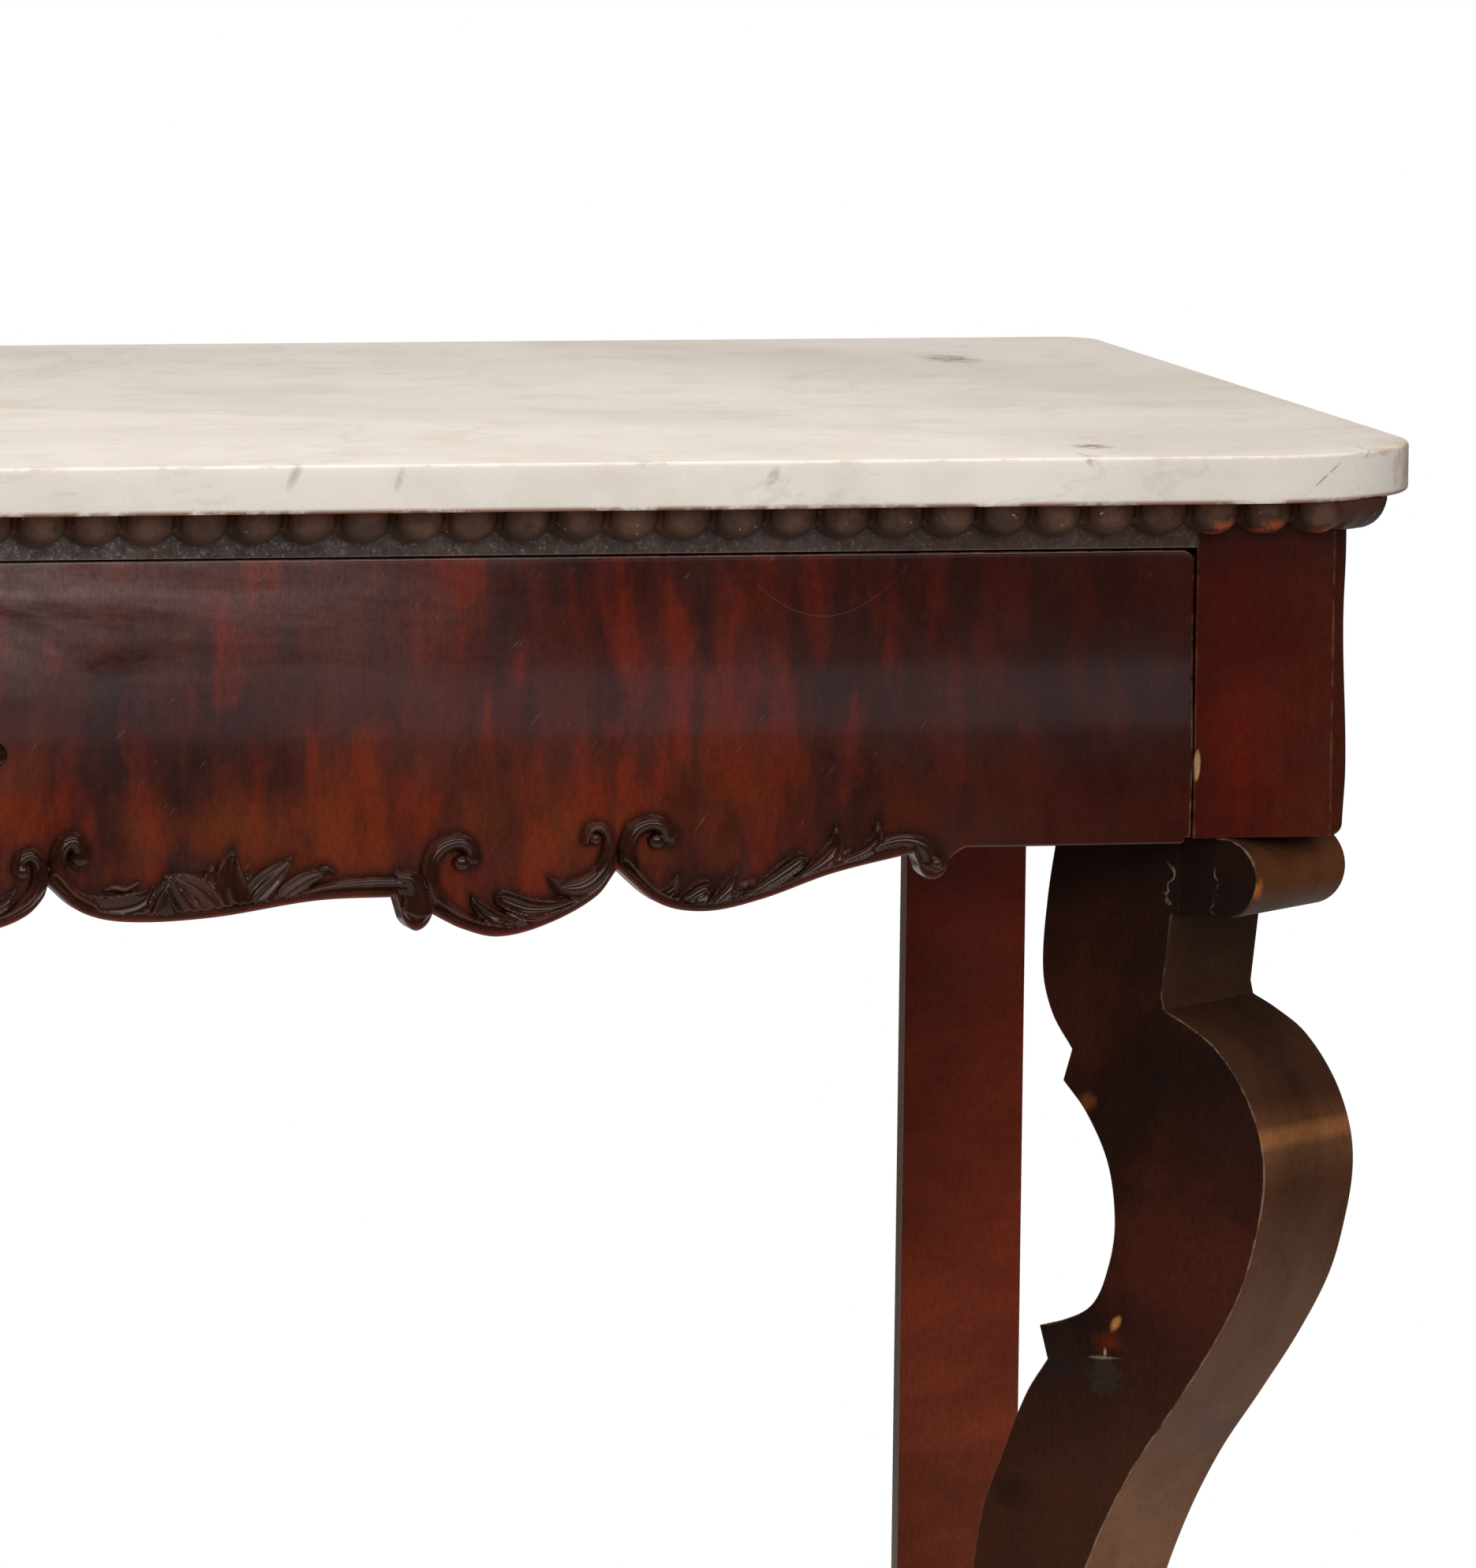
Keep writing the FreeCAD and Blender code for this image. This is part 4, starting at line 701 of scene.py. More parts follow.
# Rows of the frieze: its rounded lower edge, then close rows where the ogee bends.
curve = CASE_LOW + arc((0, LOW_ROUND), LOW_ROUND, -90, 0, 6)[:, 1]
levels = np.concatenate([curve, np.linspace(730, 861, 48), [CASE_TOP]])
under = LOW_ROUND - np.sqrt(LOW_ROUND**2 - np.clip(CASE_LOW + LOW_ROUND - levels, 0, LOW_ROUND) ** 2)
outer = CASE_HALF + frieze_proud(levels) - under
inner = CASE_HALF - PANEL_THICK
section = chain([(inner, CASE_TOP), (inner, CASE_LOW)], np.column_stack([outer, levels]))
# The front of a block in plan: (x, distance behind the front), from its arris at the drawer
# to the start of the bend at its corner.
face = [(OPENING_HALF + x, back) for x, back in ((0, 0.6), (0.2, 0.2), (0.6, 0), (2, 0))]
face += [(CASE_HALF - x, back) for x, back in ((9.2, 0), (8.4, 0), (7.6, 0.2))]
face = np.array(face) + (0, CASE_FRONT)
for side, sign in SIDES:
    rings = []
    for z, out in zip(levels, outer):
        corner = bent((CASE_HALF - 7, 0.8), (out - 1.2, 3.5), (out, 9)) + (0, CASE_FRONT)
        plan = chain(face, corner, [(out, BLOCK_BACK), (OPENING_HALF, BLOCK_BACK)])
        rings.append(np.column_stack([plan[:, 0] * sign, plan[:, 1], np.full(len(plan), z)]))
    worn = np.zeros((len(rings), len(rings[0])))
    worn[:, :3] = (0.4, 0.75, 0.4)
    worn[:, 5:7] = 0.6
    block = loft(f"corner_block_{side}", np.array(rings), "frieze_mahogany", "table", 25, wear=worn)
    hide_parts(f"front_corner_block_{side}")
    ends = [np.insert(section * (sign, 1), 1, y, axis=1) for y in (BLOCK_BACK, REAR_FRONT)]
    panel = loft(f"case_side_{side}", np.array(ends), "frieze_mahogany", "table")
    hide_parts(f"side_panel_{side}")

x, y = (-OPENING_HALF, OPENING_HALF), (CASE_FRONT, CASE_FRONT + RAIL_DEEP)
rail = board("rail_over_drawer", x, y, (RAIL_LOW, CASE_TOP), 0.6, "dusty_rail")
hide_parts("front_top_rail")

# %% [markdown]
# ## Egg moulding
# A run of carved eggs hides the joint between marble and frieze.  The section is a
# quarter-round.  Along the run its projection rises and falls: a broad egg, then a pair of
# thin darts.  The carver undercut the lower edge between the eggs, so it is scalloped.

# %% Egg section
# How far the moulding stands out, how deep its lower edge hangs under a dart and under a leaf,
# and how much further under an egg.
MOULD_OUT, DART_LOW, LEAF_LOW, EGG_LOWER = 18.5, 11.0, 14.6, 5.2
# Half widths as shares of the pitch: of the hollow round an egg, of the egg and of a dart.
BOWL_WIDE, EGG_WIDE, DART_WIDE = 0.45, 0.44, 0.035
# How far down an egg keeps its width, and how much further down it ends.
EGG_WAIST, EGG_TIP = 6.0, 10.2
# Shares of the full projection: those of the ground, an egg and a dart, then the leaf's at its
# top, what the leaf loses down to its foot, and the depth of its reeds.
GROUND_OUT, EGG_OUT, DART_OUT = 0.66, 0.98, 0.84
LEAF_OUT, LEAF_LEAN, REED_DEEP = 1.06, 0.72, 0.05


def egg_section(phase, leaf):
    """Rings of (projection, drop, dome) for phases -0.5 to 0.5, where 0 is the middle of an egg.

    The drop runs to a lower edge that is an arc under the egg and level under the dart.  At a
    drop the projection is the cosine of its share of that edge, times an egg or a dart.  leaf
    runs from 0 to 1: there the egg gives way to a leaf that leans in as a straight slope.
    """
    t = np.linspace(0, 1, 14)[None, :]
    across, leaf = np.abs(phase)[:, None], leaf[:, None]
    bowl = np.sqrt(np.clip(1 - (across / BOWL_WIDE) ** 2, 0, 1))
    low = (DART_LOW + EGG_LOWER * bowl) * (1 - leaf) + LEAF_LOW * leaf
    drop = np.sin(t * math.pi / 2) * low
    egg = 1 - (across / EGG_WIDE) ** 2 - (np.maximum(drop - EGG_WAIST, 0) / EGG_TIP) ** 2
    egg = np.sqrt(np.clip(egg, 0, 1))
    dart = np.clip(1 - np.abs(across - 0.5) / DART_WIDE, 0, 1)
    dart = dart * np.clip(1.05 - (drop / DART_LOW) ** 4, 0, 1)
    ground = GROUND_OUT * np.sqrt(np.clip(1.02 - (drop / low) ** 2, 0, 1))
    full = np.maximum(ground + (EGG_OUT - ground) * egg, DART_OUT * dart)
    reeds = REED_DEEP * np.abs(np.cos(math.pi * (2.2 * phase[:, None] + 0.9 * t)))
    slope = (LEAF_OUT - LEAF_LEAN * t**1.8 - reeds) * np.clip((1 - t) * 12, 0, 1) ** 0.5
    full = full * (1 - leaf) + slope * leaf
    # dome is highest on the upper middle of each egg.  Painted as wear, it gives the crowns a rubbed
    # paleness and a painted highlight where the light falls on their tops.
    return full * MOULD_OUT, drop, egg**3 * (1 - leaf) * np.clip(1.15 - t, 0, 1)


def egg_run(name, path, normals, phase, leaf):
    """The moulding along a plan path: point + outward normal x projection, at top - drop."""
    out, drop, dome = egg_section((phase + 0.5) % 1 - 0.5, leaf)
    out = np.pad(out, ((0, 0), (1, 1)))
    dome = np.pad(dome, ((0, 0), (1, 1)))
    drop = np.hstack([0 * drop[:, :1], drop, drop[:, -1:]])
    plan = path[:, None, :] + normals[:, None, :] * out[:, :, None]
    rings = np.dstack([plan, CASE_TOP - drop])
    # The wear on the eggs' crowns is partly rubbing, partly a painted highlight.
    return loft(name, rings, "moulding_mahogany", "table", 50, wear=dome)


# %% [markdown]
# The front run goes from the middle out to the last whole egg, on to the corner, and round it
# with a leaf.  Beyond the last whole egg the pitch is stretched, as a carver does to come out
# even.  The side runs are straight, from the leaf to the wall.

# %% Egg moulding
COLUMNS, WHOLE_EGGS = 16, 26
BEND_RADIUS, BEND_LONG = 15.0, 52.6
straight = np.arange(-WHOLE_EGGS * COLUMNS, WHOLE_EGGS * COLUMNS + 1) / COLUMNS
front = np.column_stack([straight * EGG_PITCH, np.full(len(straight), CASE_FRONT)])
ahead = np.tile([0.0, -1.0], (len(straight), 1))
half = CASE_HALF - BEND_RADIUS
reach = half - WHOLE_EGGS * EGG_PITCH
along = np.linspace(0, reach + BEND_LONG, 3 * COLUMNS)[1:]
turned = np.radians(np.clip((along - reach) / BEND_LONG, 0, 1) * 90)
facing = np.column_stack([np.sin(turned), -np.cos(turned)])
start_x = np.minimum(WHOLE_EGGS * EGG_PITCH + along, half)
corner = np.column_stack([start_x, np.full(len(along), CASE_FRONT + BEND_RADIUS)]) + BEND_RADIUS * facing
path = np.vstack([(corner * MIRROR)[::-1], front, corner])
normals = np.vstack([(facing * MIRROR)[::-1], ahead, facing])
stretched = along / (reach + BEND_LONG) * round((reach + BEND_LONG) / EGG_PITCH)
phase_end = WHOLE_EGGS + stretched
phase = np.concatenate([-phase_end[::-1], straight, phase_end]) + 0.125
leaf = np.clip((along - reach - 3) / 6, 0, 1)
leaf = np.concatenate([leaf[::-1], 0 * straight, leaf])
made = egg_run("egg_moulding_front_run", path, normals, phase, leaf)
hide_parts("egg_moulding_front")
for side, sign in SIDES:
    y = np.linspace(CASE_FRONT + BEND_RADIUS, CASE_BACK, 24 * COLUMNS)
    path = np.column_stack([np.full(len(y), sign * CASE_HALF), y])
    normals = np.tile([float(sign), 0.0], (len(y), 1))
    phase = (y - y[0]) / EGG_PITCH + 0.5
    made = egg_run(f"egg_moulding_{side}_run", path, normals, phase, 0 * y)
    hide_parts(f"egg_moulding_{side}")

# %% [markdown]
# ## Drawer front
# The drawer front hangs below the case as a shaped apron.  Its lower edge is a row of lobes
# that meet in cusps, sawn to follow the carving.  A boolean cut would leave ragged faces along
# such an edge, so the surface is a grid: columns run across the front, and every ring goes
# down the face, round the edge and up the back.

# %% Apron outline
LOBES = (
    # (share of the apron's half width, share of its depth)
    ((0, 0.88), (0.032, 0.86), (0.065, 0.79), (0.092, 0.64), (0.107, 0.44), (0.1115, 0.28)),
    ((0.1115, 0.28), (0.144, 0.616), (0.187, 0.74), (0.268, 0.705), (0.37, 0.52), (0.447, 0.49)),
    ((0.447, 0.49), (0.4509, 0.649), (0.4548, 0.791), (0.4605, 0.869), (0.4663, 0.899),
     (0.4733, 0.865), (0.4784, 0.795), (0.482, 0.7)),
    ((0.482, 0.7), (0.51, 0.88), (0.546, 0.985), (0.592, 0.85), (0.64, 0.53), (0.6605, 0.2)),
    ((0.6605, 0.2), (0.703, 0.624), (0.748, 0.72), (0.801, 0.59), (0.871, 0.29), (0.95, 0.06)),
    ((0.95, 0.06), (0.953, 0.147), (0.957, 0.28), (0.9626, 0.357), (0.9688, 0.378), (0.9765, 0.341),
     (0.9818, 0.266), (0.9848, 0.143), (0.9932, 0.05), (1, 0)),
)
CORNER_END, CORNER_LIFT = 583.4, 2.8
lobes = [smooth([(x * APRON_HALF, -deep * APRON_DEPTH) for x, deep in lobe], 0.7) for lobe in LOBES]
worn_corner = arc((CORNER_END - CORNER_LIFT, CORNER_LIFT), CORNER_LIFT, -90, 0, 6)
edge_line = np.vstack([*lobes, [(APRON_HALF, 0.0)], worn_corner, [(DRAWER_HALF, CORNER_LIFT)]])
edge_line = edge_line[np.argsort(edge_line[:, 0], kind="stable")]
print("apron outline:", len(edge_line), "points")


def apron_low(x):
    """Level of the apron's lower edge at a distance from the middle."""
    return DRAWER_EDGE + np.interp(np.abs(x), edge_line[:, 0], edge_line[:, 1])


# %% [markdown]
# Each column knows its low and high level.  The ends turn back in a small quarter round, and
# the top and bottom rims are eased, each with a radius of its own.

# %% Drawer front grid
TURN, TOP_EASE, LOW_EASE = 1.6, 0.8, 1.0
FALL_LONG, FALL = 7.0, 4.2
APRON_BACK, FRONT_BACK = -273.0, -268.0
right = np.concatenate([edge_line[:, 0], np.linspace(APRON_HALF, DRAWER_HALF, 60)])
right = np.unique(np.round(right, 2))
right = right[np.concatenate([[True], np.diff(right) > 0.12])]
end_bend = DRAWER_HALF - TURN + arc((0, 0), TURN, 90, 0, 7)[:, 0]
right = np.concatenate([right[right < DRAWER_HALF - TURN - 0.2], end_bend])
across = np.concatenate([-right[:0:-1], right])
past = np.clip(np.abs(across) - DRAWER_HALF + TURN, 0, TURN)
tuck = (TURN - np.sqrt(TURN**2 - past**2))[:, None]
low = apron_low(across)[:, None]
fallen = np.maximum(0, np.abs(across) - DRAWER_HALF + FALL_LONG)[:, None] / FALL_LONG
high = DRAWER_TOP - FALL * fallen**2
bend = np.radians(np.linspace(0, 90, 5))[None, :]
share = np.linspace(0, 1, 64)[None, :]
face_z = high - TOP_EASE + (low + LOW_EASE - high + TOP_EASE) * share
face_y = CASE_FRONT - frieze_proud(face_z) + tuck
rim_y = face_y[:, :1] + TOP_EASE * (1 - np.sin(bend[:, :-1]))
rim_z = high - TOP_EASE + TOP_EASE * np.cos(bend[:, :-1])
foot_y = face_y[:, -1:] + LOW_EASE * (1 - np.cos(bend[:, 1:]))
foot_z = low + LOW_EASE - LOW_EASE * np.sin(bend[:, 1:])
step_z = np.maximum(low, CASE_LOW)
rear_y = np.tile([APRON_BACK, APRON_BACK, FRONT_BACK, FRONT_BACK], (len(across), 1))
y = np.hstack([rim_y, face_y, foot_y, rear_y])
z = np.hstack([rim_z, face_z, foot_z, low, step_z, step_z, high])
rings = np.dstack([np.repeat(across[:, None], y.shape[1], axis=1), y, z])
print("drawer front", rings.shape)

# %% [markdown]
# ## Carved scrolls
# The carver glued the ornament to the apron as blanks and cut C-scrolls and acanthus leaves
# into it.  Sculpting by hand could do it in Blender too, but a relief is easier to correct: one
# height over the face for each point of a grid.  Every scroll or leaf is a stroke, a spine
# whose half width changes along its length.  The height comes from the distance to the
# nearest point of the spine, and the highest stroke wins.

# %% Strokes
OUTSIDE = -9.0


def stroke(x, z, spine, high, cut):
    """Height of one stroke over the face, falling steeply outside its half width.

    spine is (x, z, half width).  With q = distance / half width the cuts are: round, the
    square root of 1 - q^2; gouge, 0.4 + 0.6 q^2, hollow in the middle with a raised rim; leaf,
    0.84 - 0.14 q + 0.1 cos 7.5 q, a low ridge with grooves along it.
    """
    line = smooth(spine, 0.4)
    wide = line[:, 2].max() + 3
    near = (x > line[:, 0].min() - wide) & (x < line[:, 0].max() + wide)
    near &= (z > line[:, 1].min() - wide) & (z < line[:, 1].max() + wide)
    height = np.full(x.shape, OUTSIDE)
    px, pz = x[near], z[near]
    gap = np.hypot(px[:, None] - line[None, :, 0], pz[:, None] - line[None, :, 1])
    nearest = gap.argmin(axis=1)
    half = np.maximum(line[nearest, 2], 0.3)
    q = gap[np.arange(len(px)), nearest] / half
    inside = np.clip(1 - q * q, 0, 1)
    if cut == "round":
        form = np.sqrt(inside)
    elif cut == "gouge":
        form = np.clip(inside * 5, 0, 1) ** 0.5 * (0.40 + 0.60 * q**2)
    else:
        form = np.clip(inside * 4, 0, 1) ** 0.5 * (0.84 - 0.14 * q + 0.10 * np.cos(q * 7.5))
    taper = np.clip(half / 2.0, 0.55, 1)
    height[near] = np.where(q < 1, high * form * taper, (1 - q) * half * 2.5)
    return height


# %% [markdown]
# The strokes below are for the right half, and the left half is their mirror.  Each starts
# with its height over the face.  The points of its spine follow: distance from the middle,
# level and half width.  The pads are the low ground that joins the leaves.

# %% Table of strokes
ROUND = (
    (6.2, (39, 716.4, 3), (40.4, 720.6, 3.5), (44.6, 722.4, 3.6), (48.6, 718.6, 3.7), (49.4, 712, 4),
     (47.2, 704.4, 4.4), (41.4, 697.6, 4.6), (33, 692.6, 4.2), (18, 690, 3.8), (0, 689.2, 3.6)),
    (7.2, (67.4, 721.2, 5.8), (67.4, 724.4, 5), (63.8, 728.6, 4.4), (59.4, 726, 4.2),
     (57.2, 719.3, 4.2), (58.2, 711, 4.6), (63.3, 703.2, 5), (71.5, 698, 5.2)),
    (4.5, (79.5, 706.4, 1), (83.5, 707.4, 1.6), (88.5, 706.4, 1.7), (94.6, 709.2, 0.9)),
    (5.5, (176.5, 712.7, 0.9), (180.6, 715, 1.6), (184.8, 713, 1.2)),
    (6.2, (166, 700.8, 1.4), (178, 704.4, 3), (192, 706.8, 3.7), (208, 707.6, 3.5), (220, 707.4, 3)),
    (7, (214, 710.6, 2.4), (219.5, 709, 4.6), (223, 703, 6.4), (223.6, 697, 7), (223.4, 692.4, 7)),
    (7, (249, 718.2, 4.4), (247.8, 722.4, 4.2), (243.6, 725.4, 3.9), (238.2, 725.2, 3.9),
     (232.6, 722, 4.1), (229.4, 715.9, 4.2), (229.6, 707.1, 4), (233.6, 697.8, 4.4),
     (241.2, 690.8, 4.8), (252, 687.2, 3.4), (262, 686.6, 2)),
    (7, (301.4, 725.2, 1.7), (301.8, 729, 2.2), (305.4, 731.8, 2.4), (310.2, 729.8, 2.8),
     (312.2, 724, 3.1), (311.4, 717, 3.7), (308.2, 710.6, 4.4), (302.4, 705.6, 4.9), (296, 703.8, 4.6),
     (289.6, 704.8, 3), (284.6, 708.8, 0.7)),
    (7.2, (339.6, 727, 4.7), (337.2, 731, 4.3), (331.4, 733, 4.1), (324.6, 730.4, 4.2),
     (320.8, 723, 4.3), (322, 713.6, 4.6), (327.2, 704.9, 4.8), (334.8, 698.8, 4.2), (344, 695.6, 3),
     (352, 694.6, 2)),
    (4.2, (436, 719.2, 1.8), (442.7, 722.2, 3), (451.6, 722.9, 3.8), (459.6, 720, 4.6),
     (463.8, 714.6, 5.8), (464.2, 711.8, 6.4)),
)
GOUGE = (
    (5, (4, 694.5, 1.2), (18, 695.5, 2.6), (28, 698.4, 3.4), (34.8, 702.6, 3), (38.6, 708.6, 0.6)),
    (6, (66, 701.4, 4), (75, 698.2, 5.4), (85.8, 698, 6.6), (95.5, 700.6, 5.8), (101.4, 706.6, 0.9)),
    (5.2, (272, 687.8, 1.2), (263.6, 689.4, 3), (256.4, 692.6, 3.5), (251.2, 696.8, 2.5),
     (248.4, 701.2, 0.5)),
    (5.8, (298, 698.8, 1.4), (286, 695.6, 3.2), (275, 695.6, 4.2), (266.4, 698.4, 4.4),
     (263, 699.8, 3.8)),
    (4.4, (286, 689.8, 1), (274, 690.4, 2), (263, 693.6, 0.7)),
    (5.4, (329.3, 703.1, 1.2), (335.9, 700.8, 2.2), (342, 703, 2.4), (344.8, 708.8, 0.5)),
    (5.8, (341.8, 695.2, 1.2), (348, 698.4, 3.2), (353.8, 702.2, 4), (357, 703.6, 3.6)),
    (5.4, (357.6, 693.8, 1.6), (364.4, 699.2, 3.4), (369.4, 704.8, 3.6), (372.2, 712.6, 0.5)),
    (4.4, (368, 696.4, 1), (376, 701.4, 2), (383, 706.6, 0.6)),
    (6, (372, 696.6, 1.4), (382, 702.6, 3.2), (391, 708.6, 4.2), (398.6, 713.8, 4.4),
     (401, 715.4, 3.8)),
    (6, (399.4, 706.2, 1.4), (407, 710.8, 3.6), (413.6, 715.8, 4.6), (417.8, 722, 3.6),
     (418.2, 731.6, 0.5)),
    (5.4, (420.4, 713.6, 1.2), (427.6, 717, 2.8), (433.6, 720, 3.4), (437.2, 724.8, 2.6),
     (437.8, 733, 0.5)),
)
PAD = (
    (2.6, (100, 696, 5), (110, 701, 7), (122, 703, 8.5), (136, 706, 9), (150, 704, 7), (164, 703, 5),
     (182, 704, 4), (206, 705, 3.4), (220, 704, 3)),
    (2.6, (246, 689, 3.6), (262, 689, 5), (280, 692, 5.8), (296, 698, 5.4), (306, 705, 4)),
    (2.4, (338, 697, 3), (356, 696, 4.5), (378, 701, 5), (404, 708, 4.6), (430, 717, 4.2)),
)
LEAF = (
    (5.2, (100.6, 693.4, 2), (102.6, 699.4, 4.4), (106, 706, 3.8), (111.4, 711.2, 1.2)),
    (5.8, (120, 693, 3), (116.6, 699.2, 6.4), (112, 706, 5.6), (107.6, 711.6, 1.6)),
    (6.2, (132, 694.6, 3.6), (126.6, 701, 6.4), (119.4, 706.8, 6), (110.4, 711.8, 1.6)),
    (5.4, (137.6, 695.6, 2.4), (131.6, 705, 4.8), (127.6, 711, 3.8), (128.4, 716, 1.2)),
    (6.8, (139.6, 695.4, 4), (137.2, 704.4, 7.6), (136, 713.2, 6.6), (137.6, 723.2, 1.2)),
    (5.8, (143.4, 696.6, 2.6), (148.6, 704.4, 6), (156, 711.4, 5.2), (164.6, 719, 1.2)),
    (5.2, (155.6, 698.4, 2), (163, 704.8, 3.9), (171.6, 710, 3.6), (183.4, 714.2, 0.8)),
    (5.4, (0, 690, 3), (0, 700, 6), (0, 711, 5), (0, 721.5, 0.8)),
    (4.8, (3, 690, 2.4), (8, 698, 4.2), (14, 706, 3.4), (21.5, 711.5, 0.7)),
)
BEADS = ((40.6, 715.4, 3.3), (243.2, 716.4, 3.5), (305.2, 726.4, 2.7),
         (333.8, 724.9, 3.4), (465.0, 712.8, 2.6))
print(len(ROUND), "scrolls,", len(GOUGE), "gouges and", len(LEAF), "leaves in each half")

# %% [markdown]
# A relief over a grid becomes a closed sheet: the cells that stand over the face are kept, and
# a copy of them lies just inside the wood.  Ridges are rubbed paler than hollows, and the
# second differences of the height tell which is which.

# %% Relief
# The plain margin along the sawn edge, the pitch of the grid and how deep a sheet is let in.
MARGIN, GRID, SUNK = 2.6, 0.55, 0.9
# How steeply the relief rises from that margin, the height of a bead's rim over the face and
# the share of its radius by which its middle stands over its rim.
EDGE_RISE, BEAD_HIGH, BEAD_DOME = 3.6, 5.0, 0.55
RELIEF_LOW, RELIEF_TOP = 680.4, 738


def relief(x, z):
    """Height of all strokes over the apron's face, kept inside its sawn lower edge."""
    height = np.full(x.shape, OUTSIDE)
    for strokes, cut in ((PAD, "round"), (LEAF, "leaf"), (GOUGE, "gouge"), (ROUND, "round")):
        for high, *spine in strokes:
            height = np.maximum(height, stroke(x, z, spine, high, cut))
    for bead_x, bead_z, radius in BEADS:
        q = np.hypot(x - bead_x, z - bead_z) / radius
        dome = BEAD_HIGH + BEAD_DOME * radius * np.sqrt(np.clip(1 - q * q, 0, 1))
        height = np.maximum(height, np.where(q < 1, dome, OUTSIDE))
    inside = z - apron_low(x) - MARGIN
    return np.minimum(height, EDGE_RISE * np.sqrt(np.clip(inside + 0.1, 0, None)) - SUNK)


def carve(name, low_x, high_x, sign):
    """The relief over one stretch as a closed sheet, its rim and back sunk in the face."""
    across = np.arange(low_x, high_x + GRID, GRID)
    up = np.arange(RELIEF_LOW, RELIEF_TOP, GRID)
    x, z = np.meshgrid(across, up)
    high = np.maximum(relief(np.abs(x), z), -SUNK)
    crest = sum(np.gradient(np.gradient(high, axis=n), axis=n) for n in (0, 1))
    worn = np.clip(-crest * 1.6, 0, 1)
    used = high > -SUNK + 0.01
    cell = used[:-1, :-1] | used[1:, :-1] | used[:-1, 1:] | used[1:, 1:]
    face = CASE_FRONT - frieze_proud(z)
    count = x.size
    index = np.arange(count).reshape(x.shape)
    quads = np.stack([index[:-1, :-1], index[:-1, 1:], index[1:, 1:], index[1:, :-1]], axis=-1)[cell]
    front = np.stack([sign * x, face - high, z], axis=-1).reshape(-1, 3)
    back = np.stack([sign * x, face + SUNK, z], axis=-1).reshape(-1, 3)
    faces = np.vstack([quads, quads[:, ::-1] + count])
    kept, faces = np.unique(faces, return_inverse=True)
    points = np.vstack([front, back])[kept]
    worn = np.concatenate([worn.ravel(), np.zeros(count)])[kept]
    faces = faces.reshape(-1, 4).tolist()
    return piece(name, points, faces, "carved_mahogany", "drawer", 75, wear=worn)


# %% [markdown]
# The front takes three paints at its points: wear on the rubbed top edge and ends, with a
# painted highlight along the top edge on the left, a halo that darkens the wood beside each
# stroke, and the red rim that the carver left along the edge.

# %% Painted drawer front
# The fall of the relief over which the halo fades, and the width of the red rim.
HALO_REACH, RIM_WIDE = 7.5, 3.4
worn = np.zeros(rings.shape[:2])
# The top rim is rubbed along its length; the extra paleness on the left is a painted highlight.
wear_and_highlight = np.interp(across, (-300, 100), (1.0, 0.55))
worn[:, :5] = wear_and_highlight[:, None] * (0.4, 0.8, 0.9, 0.7, 0.2)
worn[np.abs(across) > DRAWER_HALF - TURN] = 0.45
side, depth, level = np.abs(rings[..., 0]), rings[..., 1], rings[..., 2]
on_face = (depth < CASE_FRONT + 4) & (level < CASE_LOW + 20)
# The wood beside each stroke is painted darker, fading as the relief falls away.
halo = np.where(on_face, np.clip(1 + relief(side, level) / HALO_REACH, 0, 1), 0) * 0.9
rim = np.clip(1 - (level - low) / RIM_WIDE, 0, 1) * (side < APRON_HALF)
paint = {"wear": worn, "halo": halo * (1 - rim), "rim": rim}
front_board = loft("drawer_front_shaped", rings, "flame_mahogany", "drawer", **paint)
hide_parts("drawer_front")

# %% [markdown]
# The carving is three sheets, which part at the first cusp on either side of the middle.

# %% Carving
CUSP, CARVING_END = 0.1115 * APRON_HALF, 474.0
carving = carve("carving_centre", -CUSP, CUSP, 1)
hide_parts("apron_carving_centre")
for side, sign in SIDES:
    carving = carve(f"carving_{side}", CUSP, CARVING_END, sign)
    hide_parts(f"apron_carving_{side}")

# %% [markdown]
# ## Rosette
# An oval flower marks the middle of the drawer front.  Its height over the face is a function
# of the angle and of the share of the oval's radius: two rings of petals round a domed button.

# %% Rosette
ROSETTE_LEVEL, ROSETTE_WIDE, ROSETTE_TALL = 768.0, 34.0, 20.0
# Heights over the face, with the depth of the veins, and the shares of the oval's radius where
# ring and button end.
PETAL_HIGH, VEIN_DEEP, RING_HIGH, BUTTON_HIGH = 3.6, 0.6, 5.0, 6.4
RING_END, BUTTON_END = 0.52, 0.24
share = np.concatenate([np.linspace(0.0, 0.94, 34), [0.97, 1.0, 1.0]])[:, None]
angle = np.linspace(0, 2 * math.pi, 160, endpoint=False)[None, :]
lobes = np.abs(np.cos(4 * angle))
rim = 0.86 + 0.14 * lobes**0.6
petals = PETAL_HIGH * np.sqrt(np.clip(1 - (share * 1.02 - 0.02) ** 6, 0, 1)) * (0.55 + 0.45 * lobes**0.5)
vein = VEIN_DEEP * np.exp(-((np.sin(4 * angle) / 0.25) ** 2)) * share
ring = RING_HIGH * np.sqrt(np.clip(1 - (share / RING_END) ** 4, 0, 1))
ring = ring * (0.7 + 0.3 * np.abs(np.sin(4 * angle)) ** 0.5)
button = BUTTON_HIGH * np.sqrt(np.clip(1 - (share / BUTTON_END) ** 2, 0, 1))
high = np.maximum(np.maximum(petals - vein, ring), button)
x = ROSETTE_WIDE * share * rim * np.cos(angle)
z = ROSETTE_LEVEL + ROSETTE_TALL * share * rim * np.sin(angle)
high[-2] = 0.0
high[-1] = -SUNK
y = CASE_FRONT - frieze_proud(z) - high
centre_back = np.stack([x[-1] * 0, y[-1], z[-1] * 0 + ROSETTE_LEVEL], axis=-1)
rings = np.concatenate([np.stack([x, y, z], axis=-1), centre_back[None]])
